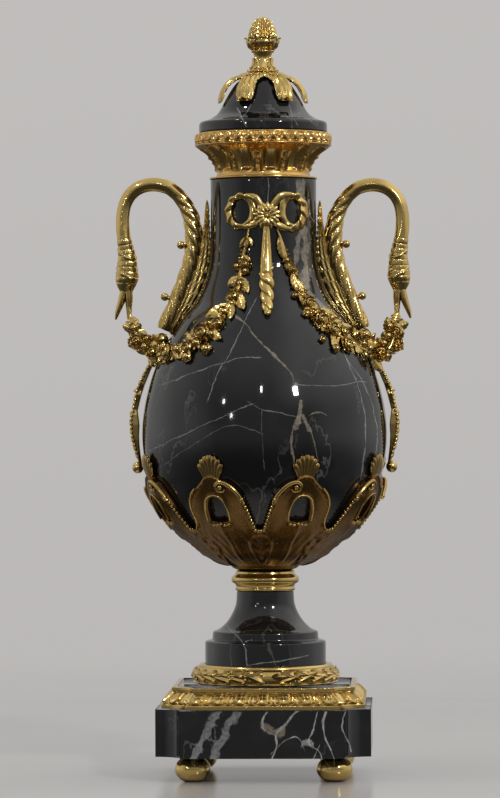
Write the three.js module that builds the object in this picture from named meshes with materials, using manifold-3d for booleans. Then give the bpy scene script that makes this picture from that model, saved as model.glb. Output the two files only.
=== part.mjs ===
// A covered mantel urn of polished black marble with gilt-bronze mounts. Millimetres, +Z up, front towards -Y.
// The origin is the middle of the footprint, on the surface that the feet stand on.
import * as THREE from 'three';
import { mergeVertices } from 'three/addons/utils/BufferGeometryUtils.js';
import Module from 'manifold-3d';

const wasm = await Module();
wasm.setup();

// ---- Driving dimensions -------------------------------------------------------------------------------------

const GAP = 0.3;                    // clearance between pieces that touch
const MERGE = 1e-3;                 // vertices closer than this are one vertex
const QUARTER = Math.PI / 2;

const FOOT = { radius: 13.3, height: 18.5, pad: 5.5, reach: 52, sides: 14, rows: 6 };

const PLINTH = { half: 79, notch: 19, top: 53.5, arris: 0.8 };
const STEP = { half: 63.3, notch: 13.5, top: 69 };
const BAND = {
  bottomHalf: 74.5, topHalf: 66.5, notch: 18, top: 69.2,
  fillet: 3.6,                      // height of the straight strip under the leaf tips
  rows: 4,
};

const LAUREL = { inner: 45.5, outer: 55, bottom: STEP.top + GAP, top: 83.5 };
const SOCLE = { bottom: STEP.top + GAP, top: 137.3, drum: 45, upperDrum: 39.5, waist: 21.2 };
const STEM_RING = { bottom: 137.6, top: 152.6, widest: 25.3, neck: 21.8, sides: 24 };

const VESSEL = {
  bottom: 156.4, belly: 91.3, bellyHeight: 252.7, neck: 39.5, top: 443.5,
  wall: 9, sides: 28, outlineSteps: 16, boreSteps: 9,
};
const CUP = { standOff: 1.7, thickness: 1.7, leaves: 8, top: 239, valley: 186, columns: 48, rows: 8 };
const CUP_HOLE = { height: 199, width: 13, tall: 18 };

const COLLAR = { bore: 31, base: 40.2, waist: 34.3, rim: 52, bottom: VESSEL.top + GAP, top: 478.5 };
const FLUTES = { count: 12, depth: 2.9, bottom: 448.4, top: 468 };

const LID = { flange: 47.8, bottom: COLLAR.top + GAP, flangeTop: 487, top: 520.6, sides: 28 };
const SPIGOT = { radius: 30.3, bottom: 473 };
const LID_RECESS = { radius: 18.5, top: 499 };
const LID_LEAVES = { count: 6, thickness: 1.6, columns: 36, rows: 4 };
const FINIAL = { bottom: 521, top: 565, cone: 10.2, calyx: 13, sides: 12 };

const BOW_MIDDLE = 3.8;             // the bow and its tassel hang a little to the right of the middle
const DAISY = { radius: 10.4, thick: 4.5, height: 415.1 };
const BOW_LOOP = { radius: 9.6, band: 3, out: 19.3, height: 418.2, stretch: 1.12 };
const TASSEL = { bottom: 342, widest: 6.6 };
const GARLAND = { radius: 4.6, rose: 8.2, sides: 6, steps: 17 };

const HANDLE = { neckSides: 8, neckSteps: 20, wingThick: 6.4, ball: 3 };
const STRAP = { width: 12, knob: 4.2, bud: 4.9 };

// ---- Materials ----------------------------------------------------------------------------------------------

const marble = () => new THREE.MeshStandardMaterial({ color: 0x232327, roughness: 0.12, metalness: 0 });
const gilt = () => new THREE.MeshStandardMaterial({ color: 0xc6a150, roughness: 0.3, metalness: 1 });

// ---- Geometry helpers ---------------------------------------------------------------------------------------

/** The same surface with shared vertices, no collapsed faces, and its faces pointing out. */
function closed(geometry) {
  const bare = new THREE.BufferGeometry();
  bare.setAttribute('position', geometry.getAttribute('position'));
  bare.setIndex(geometry.index);
  const merged = mergeVertices(bare, MERGE);
  const faces = [];
  const corner = [new THREE.Vector3(), new THREE.Vector3(), new THREE.Vector3()];
  const normal = new THREE.Vector3();
  let volume = 0;
  for (let i = 0; i < merged.index.count; i += 3) {
    const face = [0, 1, 2].map((k) => merged.index.getX(i + k));
    if (new Set(face).size < 3) continue;
    face.forEach((vertex, k) => corner[k].fromBufferAttribute(merged.getAttribute('position'), vertex));
    volume += corner[0].dot(normal.crossVectors(corner[1], corner[2]));
    faces.push(face);
  }
  const outward = volume < 0 ? faces.map(([a, b, c]) => [a, c, b]) : faces;
  merged.setIndex(outward.flat());
  return merged;
}

/** A manifold-3d solid of a closed geometry, for cutting and joining. */
function solid(geometry) {
  const { attributes, index } = closed(geometry);
  return new wasm.Manifold(new wasm.Mesh({
    numProp: 3,
    vertProperties: new Float32Array(attributes.position.array),
    triVerts: new Uint32Array(index.array),
  }));
}

/** The three.js geometry of a manifold-3d solid. */
function geometryOf(manifold) {
  const { vertProperties, triVerts } = manifold.getMesh();
  const geometry = new THREE.BufferGeometry();
  geometry.setAttribute('position', new THREE.BufferAttribute(new Float32Array(vertProperties), 3));
  geometry.setIndex(new THREE.BufferAttribute(new Uint32Array(triVerts), 1));
  return geometry;
}

/** All the given geometries joined into one solid. */
function joined(...geometries) {
  return geometries.map(solid).reduce((whole, next) => whole.add(next));
}

/** A solid of revolution about Z. Angle 0 faces the front and grows towards +X. */
function turned(profile, sides = VESSEL.sides) {
  const points = profile.map(([radius, height]) => new THREE.Vector2(radius, height));
  return new THREE.LatheGeometry(points, sides).rotateX(QUARTER);
}

/** Moves each vertex of a geometry by a rule that takes and returns a Vector3. */
function reshape(geometry, rule) {
  const positions = geometry.getAttribute('position');
  const vertex = new THREE.Vector3();
  for (let i = 0; i < positions.count; i += 1) {
    const moved = rule(vertex.fromBufferAttribute(positions, i));
    positions.setXYZ(i, moved.x, moved.y, moved.z);
  }
  return geometry;
}

/** A smooth outline through a few [radius, height] points. */
function outline(points) {
  return new THREE.SplineCurve(points.map(([radius, height]) => new THREE.Vector2(radius, height)));
}

/** [radius, height] at a share of an outline's length, moved out by a distance. */
function beside(curve, share, distance) {
  const point = curve.getPointAt(share);
  const along = curve.getTangentAt(share);
  const radius = point.x > 0 ? point.x + along.y * distance : 0;
  return [Math.max(0, radius), point.y - along.x * distance];
}

/** An outline as evenly spaced [radius, height] points, moved out by a distance. */
function sampled(curve, steps, distance = 0) {
  return Array.from({ length: steps + 1 }, (_, i) => beside(curve, i / steps, distance));
}

/** A value that runs smoothly through [place, value] pairs. */
function blended(pairs, place) {
  const after = Math.max(1, pairs.findIndex(([at]) => at >= place));
  const [[from, low], [to, high]] = [pairs[after - 1], pairs[after]];
  return THREE.MathUtils.lerp(low, high, THREE.MathUtils.smoothstep(place, from, to));
}

/** A solid round tube along a curve, with radius(share) at each share of its length. */
function tube(curve, radius, sides, steps) {
  const rows = Array.from({ length: steps + 1 }, (_, i) => i / steps);
  const profile = [[0, 0], ...rows.map((share) => [radius(share), share]), [0, 1]];
  const frames = (share) => {
    const along = curve.getTangentAt(share);
    const across = new THREE.Vector3(0, 1, 0).cross(along).normalize();
    return [across, along.clone().cross(across)];
  };
  return reshape(turned(profile, sides), (vertex) => {
    const share = THREE.MathUtils.clamp(vertex.z, 0, 1);
    const [across, upward] = frames(share);
    const { x, y } = vertex;
    return curve.getPointAt(share).addScaledVector(across, x).addScaledVector(upward, y);
  });
}

/** A plate in the X-Z plane, of an outline of [x, z] points, centred on y = 0. */
function plate(points, thickness) {
  const shape = new THREE.Shape(points.map(([x, z]) => new THREE.Vector2(x, z)));
  const geometry = new THREE.ExtrudeGeometry(shape, { depth: thickness, bevelEnabled: false });
  return geometry.translate(0, 0, -thickness / 2).rotateX(QUARTER);
}

/** A small ball at [x, y, z]. */
function ball(radius, place, sides = 8) {
  return new THREE.SphereGeometry(radius, sides, sides / 2).rotateX(QUARTER).translate(...place);
}

/** The outline of a square whose corners are cut by quarter circles that curve inwards. */
function notchedSquare(half, notch) {
  const shape = new THREE.Shape();
  for (let corner = 0; corner < 4; corner += 1) {
    const diagonal = QUARTER / 2 + corner * QUARTER;
    const [x, y] = [Math.sign(Math.cos(diagonal)) * half, Math.sign(Math.sin(diagonal)) * half];
    const start = (corner - 1) * QUARTER;
    shape.absarc(x, y, notch, start, start - QUARTER, true);
  }
  return shape;
}

/** A shell of leaves that follows an outline. At each angle it covers reach(angle), a share of the outline. */
function leafShell(curve, offset, thickness, reach, columns, rows) {
  const steps = Array.from({ length: rows + 1 }, (_, i) => i / rows);
  const [inside, outside] = [1, 2];
  const loop = [
    ...steps.map((share) => [outside, share]),
    ...steps.toReversed().map((share) => [inside, share]),
    [outside, 0],
  ];
  return reshape(turned(loop, columns), (vertex) => {
    const angle = Math.atan2(vertex.x, -vertex.y);
    const isOutside = Math.hypot(vertex.x, vertex.y) > (inside + outside) / 2;
    const share = THREE.MathUtils.clamp(vertex.z, 0, 1) * reach(angle);
    const [radius, height] = beside(curve, share, isOutside ? offset + thickness : offset);
    return vertex.set(radius * Math.sin(angle), -radius * Math.cos(angle), height);
  });
}

/** How far an angle is from the nearest of evenly spaced leaf centres: 0 at a centre, 1 half way between. */
function fromLeafCentre(angle, count, first) {
  const pitch = (2 * Math.PI) / count;
  const turns = (angle - first) / pitch;
  return Math.abs(turns - Math.round(turns)) * 2;
}

// ---- Vessel -------------------------------------------------------------------------------------------------

const vesselOutline = outline([
  [0, VESSEL.bottom], [20, 157.4], [39.5, 164.6], [54, 176], [68.3, 187.5], [82.6, 210], [88.4, 229],
  [VESSEL.belly, VESSEL.bellyHeight], [88.5, 279.5], [79, 309.5], [63, 338], [50.7, 355], [43.7, 371],
  [40.2, 387], [VESSEL.neck, 416], [VESSEL.neck, VESSEL.top],
]);
const vesselProfile = sampled(vesselOutline, VESSEL.outlineSteps);

/** The vessel's outer radius at a height. */
function vesselRadius(height) {
  const above = vesselProfile.findIndex(([, z]) => z >= height);
  if (above <= 0) return above < 0 ? VESSEL.neck : 0;
  const [[lowRadius, low], [highRadius, high]] = [vesselProfile[above - 1], vesselProfile[above]];
  return THREE.MathUtils.mapLinear(height, low, high, lowRadius, highRadius);
}

/** The space that the vessel and its clearance take up, which mounts on it are cut back from. */
const aroundVessel = solid(turned([
  ...sampled(vesselOutline, VESSEL.outlineSteps, GAP), [0, VESSEL.top + GAP],
]));

/** The hollow marble vessel, open at the neck. */
function vessel() {
  const bore = sampled(vesselOutline, VESSEL.boreSteps, -VESSEL.wall).reverse();
  bore[0] = [VESSEL.neck - VESSEL.wall, VESSEL.top];
  return closed(turned([...vesselProfile, ...bore]));
}

/** The pierced cup of eight leaves that holds the vessel. */
function leafCup() {
  const highest = 0.46;             // share of the vessel's outline that the cup's outline covers at most
  const cupOutline = outline(sampled(vesselOutline, 100).slice(0, 100 * highest));
  const shareAt = (height) => {
    const shares = Array.from({ length: 101 }, (_, i) => i / 100);
    return shares.find((share) => cupOutline.getPointAt(share).y >= height) ?? 1;
  };
  const [valley, shoulder, plumeFoot, top] = [CUP.valley, 201, 219, CUP.top].map(shareAt);
  const leafEdge = [[0, top], [0.22, top], [0.34, plumeFoot], [0.62, shoulder], [0.86, valley], [1, valley]];
  const reach = (angle) => blended(leafEdge, fromLeafCentre(angle, CUP.leaves, Math.PI / CUP.leaves));
  const cup = solid(leafShell(cupOutline, CUP.standOff, CUP.thickness, reach, CUP.columns, CUP.rows));
  const hole = new THREE.CylinderGeometry(CUP_HOLE.width / 2, CUP_HOLE.width / 2, 40, 10)
    .scale(1, 1, CUP_HOLE.tall / CUP_HOLE.width);
  let pierced = cup;
  for (let leaf = 0; leaf < CUP.leaves; leaf += 1) {
    const turn = Math.PI / CUP.leaves + leaf * 2 * Math.PI / CUP.leaves;
    const cutter = hole.clone().translate(0, -80, 0).rotateZ(turn).translate(0, 0, CUP_HOLE.height);
    pierced = pierced.subtract(solid(cutter));
  }
  return geometryOf(pierced);
}

// ---- Base ---------------------------------------------------------------------------------------------------

/** A bun foot with a flat pad underneath and on top. */
function foot() {
  const half = FOOT.height / 2;
  const padAngle = Math.acos(FOOT.pad / FOOT.radius);
  const bulge = Array.from({ length: FOOT.rows + 1 }, (_, i) => {
    const angle = THREE.MathUtils.lerp(-padAngle, padAngle, i / FOOT.rows);
    return [FOOT.radius * Math.cos(angle), half + half * Math.sin(angle) / Math.sin(padAngle)];
  });
  return closed(turned([[0, 0], ...bulge, [0, FOOT.height]], FOOT.sides));
}

/** The plinth, a notched square slab with its arrises eased. */
function plinth() {
  const bottom = FOOT.height + GAP;
  return closed(new THREE.ExtrudeGeometry(notchedSquare(PLINTH.half, PLINTH.notch), {
    depth: PLINTH.top - bottom - 2 * PLINTH.arris,
    bevelThickness: PLINTH.arris,
    bevelSize: PLINTH.arris,
    bevelOffset: -PLINTH.arris,
    bevelSegments: 1,
    curveSegments: 5,
  }).translate(0, 0, bottom + PLINTH.arris));
}

/** A slab of the step's outline, grown by a clearance. */
function stepSlab(clearance, bottom, top) {
  const shape = notchedSquare(STEP.half + clearance, STEP.notch);
  const slab = new THREE.ExtrudeGeometry(shape, { depth: top - bottom, bevelEnabled: false, curveSegments: 4 });
  return slab.translate(0, 0, bottom);
}

/** The gilt band round the step: a straight strip, then a bulging row of leaf tips that leans inwards. */
function leafBand() {
  const bottom = PLINTH.top + GAP;
  const height = BAND.top - bottom;
  const block = new THREE.ExtrudeGeometry(notchedSquare(BAND.bottomHalf, BAND.notch), {
    depth: height, steps: BAND.rows, bevelEnabled: false, curveSegments: 4,
  });
  const strip = BAND.fillet / height;
  reshape(block, (vertex) => {
    const rise = THREE.MathUtils.clamp((vertex.z / height - strip) / (1 - strip), 0, 1);
    const half = THREE.MathUtils.lerp(BAND.bottomHalf, BAND.topHalf, rise ** 2);
    return vertex.set(vertex.x * half / BAND.bottomHalf, vertex.y * half / BAND.bottomHalf, vertex.z + bottom);
  });
  return geometryOf(solid(block).subtract(solid(stepSlab(GAP, bottom - 1, BAND.top + 1))));
}

/** The laurel ring round the bottom of the socle. */
function laurelRing() {
  const { inner, outer, bottom, top } = LAUREL;
  return closed(turned([
    [inner, bottom], [outer - 2.5, bottom], [outer, bottom + 3.5], [outer, bottom + 8], [outer - 2, top - 2],
    [outer - 5, top], [inner, top], [inner, bottom],
  ]));
}

/** The marble socle: two drums and a trumpet that narrows to the stem ring. */
function socle() {
  const trumpet = outline([[38.5, 107.9], [32.5, 110.8], [26.5, 117.6], [21.8, 128], [SOCLE.waist, SOCLE.top]]);
  return closed(turned([
    [0, SOCLE.bottom], [SOCLE.drum, SOCLE.bottom], [SOCLE.drum, 99.5], [SOCLE.drum - 1.2, 100.6],
    [SOCLE.upperDrum, 102.3], ...sampled(trumpet, 6), [0, SOCLE.top],
  ]));
}

/** The turned gilt ring between the socle and the cup. */
function stemRing() {
  const { bottom, top, widest, neck, sides } = STEM_RING;
  return closed(turned([
    [0, bottom], [21.4, bottom], [22.4, 140], [22, 143], [widest, 145.5], [widest, 148], [neck, top], [0, top],
  ], sides));
}

// ---- Collar, lid and finial ---------------------------------------------------------------------------------

/** The gilt collar: a base disc, a flared basket with concave flutes, and a rim. */
function collar() {
  const { bore, base, waist, rim, bottom, top } = COLLAR;
  const basket = outline([[waist, FLUTES.bottom], [36.8, 456.5], [41.2, 462.4], [49.5, FLUTES.top]]);
  const ring = turned([
    [bore, bottom], [base, bottom], [base, bottom + 1.4], [waist + 0.4, bottom + 2], ...sampled(basket, 4),
    [rim, 471.5], [rim, 475.5], [rim - 1.8, top], [bore, top], [bore, bottom],
  ], FLUTES.count * 4);
  return closed(reshape(ring, (vertex) => {
    const radius = Math.hypot(vertex.x, vertex.y);
    const rise = (vertex.z - FLUTES.bottom) / (FLUTES.top - FLUTES.bottom);
    if (radius < bore + 1 || rise <= 0 || rise >= 1) return vertex;
    const hollow = fromLeafCentre(Math.atan2(vertex.x, -vertex.y), FLUTES.count, 0) > 0.1 ? 1 : 0;
    const shrink = (radius - FLUTES.depth * Math.sin(Math.PI * rise) * hollow) / radius;
    return vertex.set(vertex.x * shrink, vertex.y * shrink, vertex.z);
  }));
}

/** The domed marble lid, hollowed underneath, with a spigot that drops into the collar. */
function lid() {
  const dome = outline([[40.5, 488.2], [35.6, 491.2], [31.9, 495.5], [26, 506], [20.2, 515], [14, 520]]);
  return closed(turned([
    [LID_RECESS.radius, SPIGOT.bottom], [SPIGOT.radius, SPIGOT.bottom], [SPIGOT.radius, LID.bottom],
    [LID.flange, LID.bottom], [LID.flange, LID.flangeTop - 1.5], [LID.flange - 1.5, LID.flangeTop],
    ...sampled(dome, 6), [0, LID.top], [0, LID_RECESS.top], [LID_RECESS.radius * 0.7, LID_RECESS.top - 2],
    [LID_RECESS.radius, LID_RECESS.top - 9], [LID_RECESS.radius, SPIGOT.bottom],
  ], LID.sides));
}

/** The gilt mount of six leaves that droops over the lid. */
function lidLeaves() {
  const droop = outline([[6.8, 521.6], [14, 520.8], [21, 516.4], [27.5, 510], [30, 503.5], [33.5, 499.6]]);
  const edge = [[0, 1], [0.45, 0.93], [0.8, 0.45], [1, 0.38]];
  const reach = (angle) => blended(edge, fromLeafCentre(angle, LID_LEAVES.count, Math.PI / LID_LEAVES.count));
  const { thickness, columns, rows } = LID_LEAVES;
  const leaves = leafShell(droop, -GAP, -thickness, reach, columns, rows); // this outline runs downwards
  return geometryOf(solid(leaves).subtract(solid(finialProfile(GAP))));
}

/** The finial's turned shape, grown by a clearance: foot ring, waist, calyx and pine cone. */
function finialProfile(clearance) {
  const body = [
    [11.4, FINIAL.bottom + 2.6], [7.8, 526.4], [6.3, 532.6], [7.1, 538.7], [FINIAL.calyx - 1, 543.5],
    [FINIAL.calyx, 547.5], [FINIAL.cone, 549], [9.3, 554.5], [6.2, 561],
  ].map(([radius, height]) => [radius + clearance, height]);
  const bottom = FINIAL.bottom + 2.2 - clearance;
  return turned([[0, bottom], [11.4 + clearance, bottom], ...body, [0, FINIAL.top + clearance]], FINIAL.sides);
}

// ---- Mounts that lie on the vessel --------------------------------------------------------------------------

/** Wraps a piece made flat in front of y = 0 onto the front of the vessel, keeping its x and z. */
function drape(geometry) {
  return reshape(geometry, (vertex) => {
    const radius = vesselRadius(vertex.z) + GAP - vertex.y;
    return vertex.setY(-Math.sqrt(Math.max(0, radius ** 2 - vertex.x ** 2)));
  });
}

/** The ribbon bow with its daisy and hanging tassel, for the front. */
function bow() {
  const loops = [-1, 1].map((side) => {
    const loop = new THREE.TorusGeometry(BOW_LOOP.radius, BOW_LOOP.band, 6, 12).rotateX(QUARTER);
    loop.scale(1, 1, BOW_LOOP.stretch);
    return loop.translate(BOW_MIDDLE + side * BOW_LOOP.out, -BOW_LOOP.band, BOW_LOOP.height);
  });
  const daisy = new THREE.CylinderGeometry(DAISY.radius, DAISY.radius * 0.6, DAISY.thick, 12)
    .translate(BOW_MIDDLE, -DAISY.thick / 2 - 1, DAISY.height);
  const tassel = turned([
    [0, TASSEL.bottom], [3.6, 345], [6.2, 351], [TASSEL.widest, 360], [6.4, 368], [4.4, 375], [2.6, 400],
    [2.6, 410], [0, 411],
  ], 8).translate(BOW_MIDDLE, -TASSEL.widest * 0.5, 0);
  return joined(...loops.map(drape), drape(daisy), drape(tassel)).subtract(aroundVessel);
}

/** A place on the front of the vessel at x and z, standing off it by a distance. */
function onVessel(x, z, distance) {
  const radius = vesselRadius(z) + distance;
  return new THREE.Vector3(x, -Math.sqrt(Math.max(0, radius ** 2 - x ** 2)), z);
}

/** A garland of roses and leaves from the bow to the handle on the +X side, and on to the swan's beak if asked. */
function garland(toBeak) {
  const onMarble = [
    [10.5, 402.5], [14.5, 393], [17.5, 378], [21, 362], [26, 350], [37, 338], [47, 329], [57, 321], [69, 316.5],
  ].map(([x, z]) => onVessel(x, z, GARLAND.radius));
  const besideStrap = [[80.5, -13, 313]];
  const upToBeak = [[92.5, -8, 318], [97.5, -2.5, 328], [99.5, 0, 337]];
  const past = [...besideStrap, ...(toBeak ? upToBeak : [])].map((place) => new THREE.Vector3(...place));
  const curve = new THREE.CatmullRomCurve3([...onMarble, ...past]);
  const length = toBeak ? 1 : 1.32; // the short one ends earlier on the same swelling and thinning
  const swell = [
    [0, 2.2], [0.06, 3.4], [0.17, 3], [0.28, 5.6], [0.36, 3.8], [0.46, 6], [0.55, GARLAND.rose], [0.64, 5],
    [0.74, 6.6], [0.86, 3.2], [0.94, 3.8], [1, 1.6],
  ];
  const radius = (share) => blended(swell, Math.min(1, share / length));
  return solid(tube(curve, radius, GARLAND.sides, GARLAND.steps)).subtract(aroundVessel);
}

// ---- Handles ------------------------------------------------------------------------------------------------

/** A swan's neck and head with its serrated wing, for the +X side. */
function handle() {
  const centreline = new THREE.CatmullRomCurve3([
    [75, 332.4], [64.8, 355], [55.1, 380], [52.2, 397], [52.9, 410], [59, 426], [69, 436.4], [81.5, 439.8], [93, 436.8],
    [102, 426], [104.1, 410], [102.1, 393], [101.1, 377], [101.7, 365], [101.8, 356],
  ].map(([x, z]) => new THREE.Vector3(x, 0, z)));
  const thickness = [
    [0, 4.8], [0.2, 5.6], [0.33, 6.4], [0.45, 5.4], [0.6, 5.2], [0.76, 5], [0.83, 5.6], [0.91, 8.2], [0.95, 7.2], [1, 3.2],
  ];
  const neck = tube(centreline, (share) => blended(thickness, share), HANDLE.neckSides, HANDLE.neckSteps);
  const beak = [[[104, 360], [110.6, 339.5]], [[100.4, 360], [99.9, 340.5]]].map((ends) => {
    const [start, end] = ends.map(([x, z]) => new THREE.Vector3(x, 0, z));
    return tube(new THREE.LineCurve3(start, end), (share) => 2.6 - 1.8 * share, 6, 2);
  });
  const lowest = 330;
  const highest = 400;
  const nearMarble = Array.from({ length: 8 }, (_, i) => {
    const height = THREE.MathUtils.lerp(highest, lowest, i / 7);
    return [vesselRadius(height) + GAP, height];
  });
  const wing = plate([
    [42.6, 427.5], ...nearMarble, [71.5, 328.5], [74, 331], [65, 353], [55, 379], [49.5, 392], [45.8, 405],
  ], HANDLE.wingThick);
  const balls = [[62.6, 395.6], [75, 356.4]].map(([x, z]) => ball(HANDLE.ball, [x, 0, z]));
  const pins = [[[55, 396.5], [62, 395.6]], [[66, 354], [74.5, 356.4]]].map((ends) => {
    const [start, end] = ends.map(([x, z]) => new THREE.Vector3(x, 0, z));
    return tube(new THREE.LineCurve3(start, end), () => 1.6, 6, 1);
  });
  return joined(neck, ...beak, wing, ...balls, ...pins).subtract(aroundVessel);
}

/** The side strap that carries a handle down to the cup, with a bud at its head and a knob at its foot. */
function strap() {
  const outer = outline([
    [79.5, 323], [83.2, 320.5], [86.4, 310.8], [90.1, 302], [95.4, 290.7], [99.8, 272.1], [101.3, 262], [99.1, 246],
    [96.2, 231],
  ]);
  const inner = outline([[92.4, 231], [92.6, 246], [92.9, 258], [94, 272], [92.4, 283], [87.4, 296], [80, 312.5]]);
  const blade = plate([...sampled(outer, 11), ...sampled(inner, 8)], STRAP.width);
  const knob = ball(STRAP.knob, [95.2, 0, 229.6]);
  const bud = ball(STRAP.bud, [76.6, 0, 324.8]);
  return joined(blade, knob, bud).subtract(aroundVessel).subtract(aroundLeafCup);
}

/** The space that the leaf cup's outer face takes up, which the strap's knob is cut back from. */
const aroundLeafCup = solid(turned([
  ...sampled(outline(sampled(vesselOutline, 100).slice(0, 46)), 12, CUP.standOff + CUP.thickness + GAP),
  [0, CUP.top + 1],
]));

// ---- Assembly -----------------------------------------------------------------------------------------------

const urn = new THREE.Group();

/** Adds a named mesh to the urn and returns it. */
function add(name, geometry, material) {
  const mesh = new THREE.Mesh(geometry, material);
  mesh.name = name;
  urn.add(mesh);
  return mesh;
}

for (const [depthName, depthSide] of [['front', -1], ['back', 1]]) {
  for (const [sideName, side] of [['left', -1], ['right', 1]]) {
    add(`foot_${depthName}_${sideName}`, foot(), gilt()).position.set(side * FOOT.reach, depthSide * FOOT.reach, 0);
  }
}
add('plinth', plinth(), marble());
add('plinth_step', closed(stepSlab(0, PLINTH.top + GAP, STEP.top)), marble());
add('leaf_band', leafBand(), gilt());
add('laurel_ring', laurelRing(), gilt());
add('socle', socle(), marble());
add('stem_ring', stemRing(), gilt());
add('leaf_cup', leafCup(), gilt());
add('vessel', vessel(), marble());
add('collar', collar(), gilt());
add('lid', lid(), marble());
add('lid_leaves', lidLeaves(), gilt());
add('finial', closed(finialProfile(0)), gilt());

const mirrorX = (geometry) => closed(geometry.clone().scale(-1, 1, 1));
const mirrorY = (geometry) => closed(geometry.clone().scale(1, -1, 1));

const frontBow = geometryOf(bow());
add('bow_front', frontBow, gilt());
add('bow_back', frontBow.clone().rotateZ(Math.PI), gilt());

const rightHandle = geometryOf(handle());
const rightStrap = geometryOf(strap());
const frontGarland = geometryOf(garland(true));
const backGarland = mirrorY(geometryOf(garland(false)));
for (const [name, place] of [['right', closed], ['left', mirrorX]]) {
  add(`handle_${name}`, place(rightHandle), gilt());
  add(`strap_${name}`, place(rightStrap), gilt());
  add(`garland_front_${name}`, place(frontGarland), gilt());
  add(`garland_back_${name}`, place(backGarland), gilt());
}

export default urn;
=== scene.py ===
"""A covered mantel urn of black veined marble with gilt-bronze mounts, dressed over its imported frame.

Sizes are millimetres until a mesh is made, which is in metres. +Z is up and the front faces -Y. An angle
about the urn's axis is in degrees, 0 at the front and growing towards +X.
"""

import logging
import math
import random
from collections.abc import Callable, Iterable, Sequence
from dataclasses import dataclass
from enum import Enum

import bpy
import numpy as np
from mathutils import Matrix, Vector
from mathutils.geometry import delaunay_2d_cdt


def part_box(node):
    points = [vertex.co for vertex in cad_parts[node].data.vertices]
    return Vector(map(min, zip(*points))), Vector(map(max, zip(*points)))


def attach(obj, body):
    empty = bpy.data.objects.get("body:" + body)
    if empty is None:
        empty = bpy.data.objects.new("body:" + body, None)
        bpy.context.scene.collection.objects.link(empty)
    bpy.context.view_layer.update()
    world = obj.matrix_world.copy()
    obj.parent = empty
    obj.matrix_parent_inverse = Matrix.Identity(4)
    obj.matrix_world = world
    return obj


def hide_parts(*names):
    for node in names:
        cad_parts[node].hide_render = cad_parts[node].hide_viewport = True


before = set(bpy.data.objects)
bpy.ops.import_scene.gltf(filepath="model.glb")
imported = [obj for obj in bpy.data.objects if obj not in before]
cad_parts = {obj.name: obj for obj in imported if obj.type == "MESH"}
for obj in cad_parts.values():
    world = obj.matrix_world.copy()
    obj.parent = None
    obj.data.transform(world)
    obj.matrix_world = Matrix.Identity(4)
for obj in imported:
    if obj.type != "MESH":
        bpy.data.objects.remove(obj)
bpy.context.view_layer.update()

LOG = logging.getLogger("mantel_urn")
MM = 0.001
ROOT = "root"
FOOT_GAP = 0.998

Array = np.ndarray
Point = Sequence[float]
Place = Callable[[Array, Array, Array], Array]


# ---- Surfaces --------------------------------------------------------------------------------------------


@dataclass(frozen=True)
class Part:
    """A closed surface: vertices in millimetres, with its quads and its triangles in arrays of their own."""

    points: Array
    quads: Array
    tris: Array

    def volume(self) -> float:
        """Returns the signed volume, which is negative when the faces point inwards."""
        total = 0.0
        for a, b, c in (
            (self.quads[:, 0], self.quads[:, 1], self.quads[:, 2]),
            (self.quads[:, 0], self.quads[:, 2], self.quads[:, 3]),
            (self.tris[:, 0], self.tris[:, 1], self.tris[:, 2]),
        ):
            corners = self.points[a], self.points[b], self.points[c]
            total += float(np.einsum("ij,ij->", corners[0], np.cross(corners[1], corners[2])))
        return total

    def outward(self) -> "Part":
        """Returns the same surface with its faces pointing out."""
        if self.volume() >= 0:
            return self
        return Part(self.points, self.quads[:, ::-1], self.tris[:, ::-1])

    def mapped(self, rule: Callable[[Array], Array]) -> "Part":
        """Returns the surface with every vertex moved by a rule.

        Args:
            rule: takes and returns an (n, 3) array.
        """
        return Part(rule(self.points), self.quads, self.tris).outward()

    def turned(self, degrees: float) -> "Part":
        """Returns the surface turned about the urn's axis."""
        return Part(spin(self.points, degrees), self.quads, self.tris)

    def mirrored(self, x: float = 1, y: float = 1) -> "Part":
        """Returns the surface mirrored across X or Y where that factor is -1."""
        return self.mapped(lambda p: p * np.array([x, y, 1.0]))


def spin(points: Array, degrees: float) -> Array:
    """Returns points turned about the urn's axis, anticlockwise from above."""
    a = math.radians(degrees)
    turn = np.array([[math.cos(a), -math.sin(a), 0], [math.sin(a), math.cos(a), 0], [0, 0, 1]])
    return points @ turn.T


def loft(rings: Array, loop: bool = False, start: Point | None = None, end: Point | None = None) -> Part:
    """Joins rings of points into a closed surface.

    Args:
        rings: (rings, points a ring, 3).
        loop: whether the last ring joins the first; otherwise both ends close on a point.
        start: the closing point before the first ring, or its middle.
        end: the closing point after the last ring, or its middle.

    Returns:
        The surface, facing out.
    """
    count, around, _ = rings.shape
    i = np.arange(count if loop else count - 1)[:, None]
    j = np.arange(around)[None, :]
    after, beside = (i + 1) % count, (j + 1) % around
    quads = np.stack([i * around + j, i * around + beside, after * around + beside, after * around + j], -1)
    points, tris = rings.reshape(-1, 3), np.zeros((0, 3), int)
    if not loop:
        first = rings[0].mean(0) if start is None else np.array(start, float)
        last = rings[-1].mean(0) if end is None else np.array(end, float)
        pole, k = count * around, np.arange(around)
        points = np.vstack([points, first, last])
        head = np.stack([np.full(around, pole), (k + 1) % around, k], -1)
        base = (count - 1) * around
        tail = np.stack([np.full(around, pole + 1), base + k, base + (k + 1) % around], -1)
        tris = np.vstack([head, tail])
    return Part(points, quads.reshape(-1, 4), tris).outward()


def unit(values: Array) -> Array:
    """Returns values held between 0 and 1."""
    return np.clip(values, 0, 1)


def hump(away: Array, width: float) -> Array:
    """Returns a smooth hump, 1 in its middle and almost gone at twice its width away."""
    return np.exp(-((away / width) ** 2))


def distances(line: Array) -> Array:
    """Returns how far along a line each of its points is."""
    return np.concatenate([[0], np.cumsum(np.linalg.norm(np.diff(line, axis=0), axis=1))])


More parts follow.
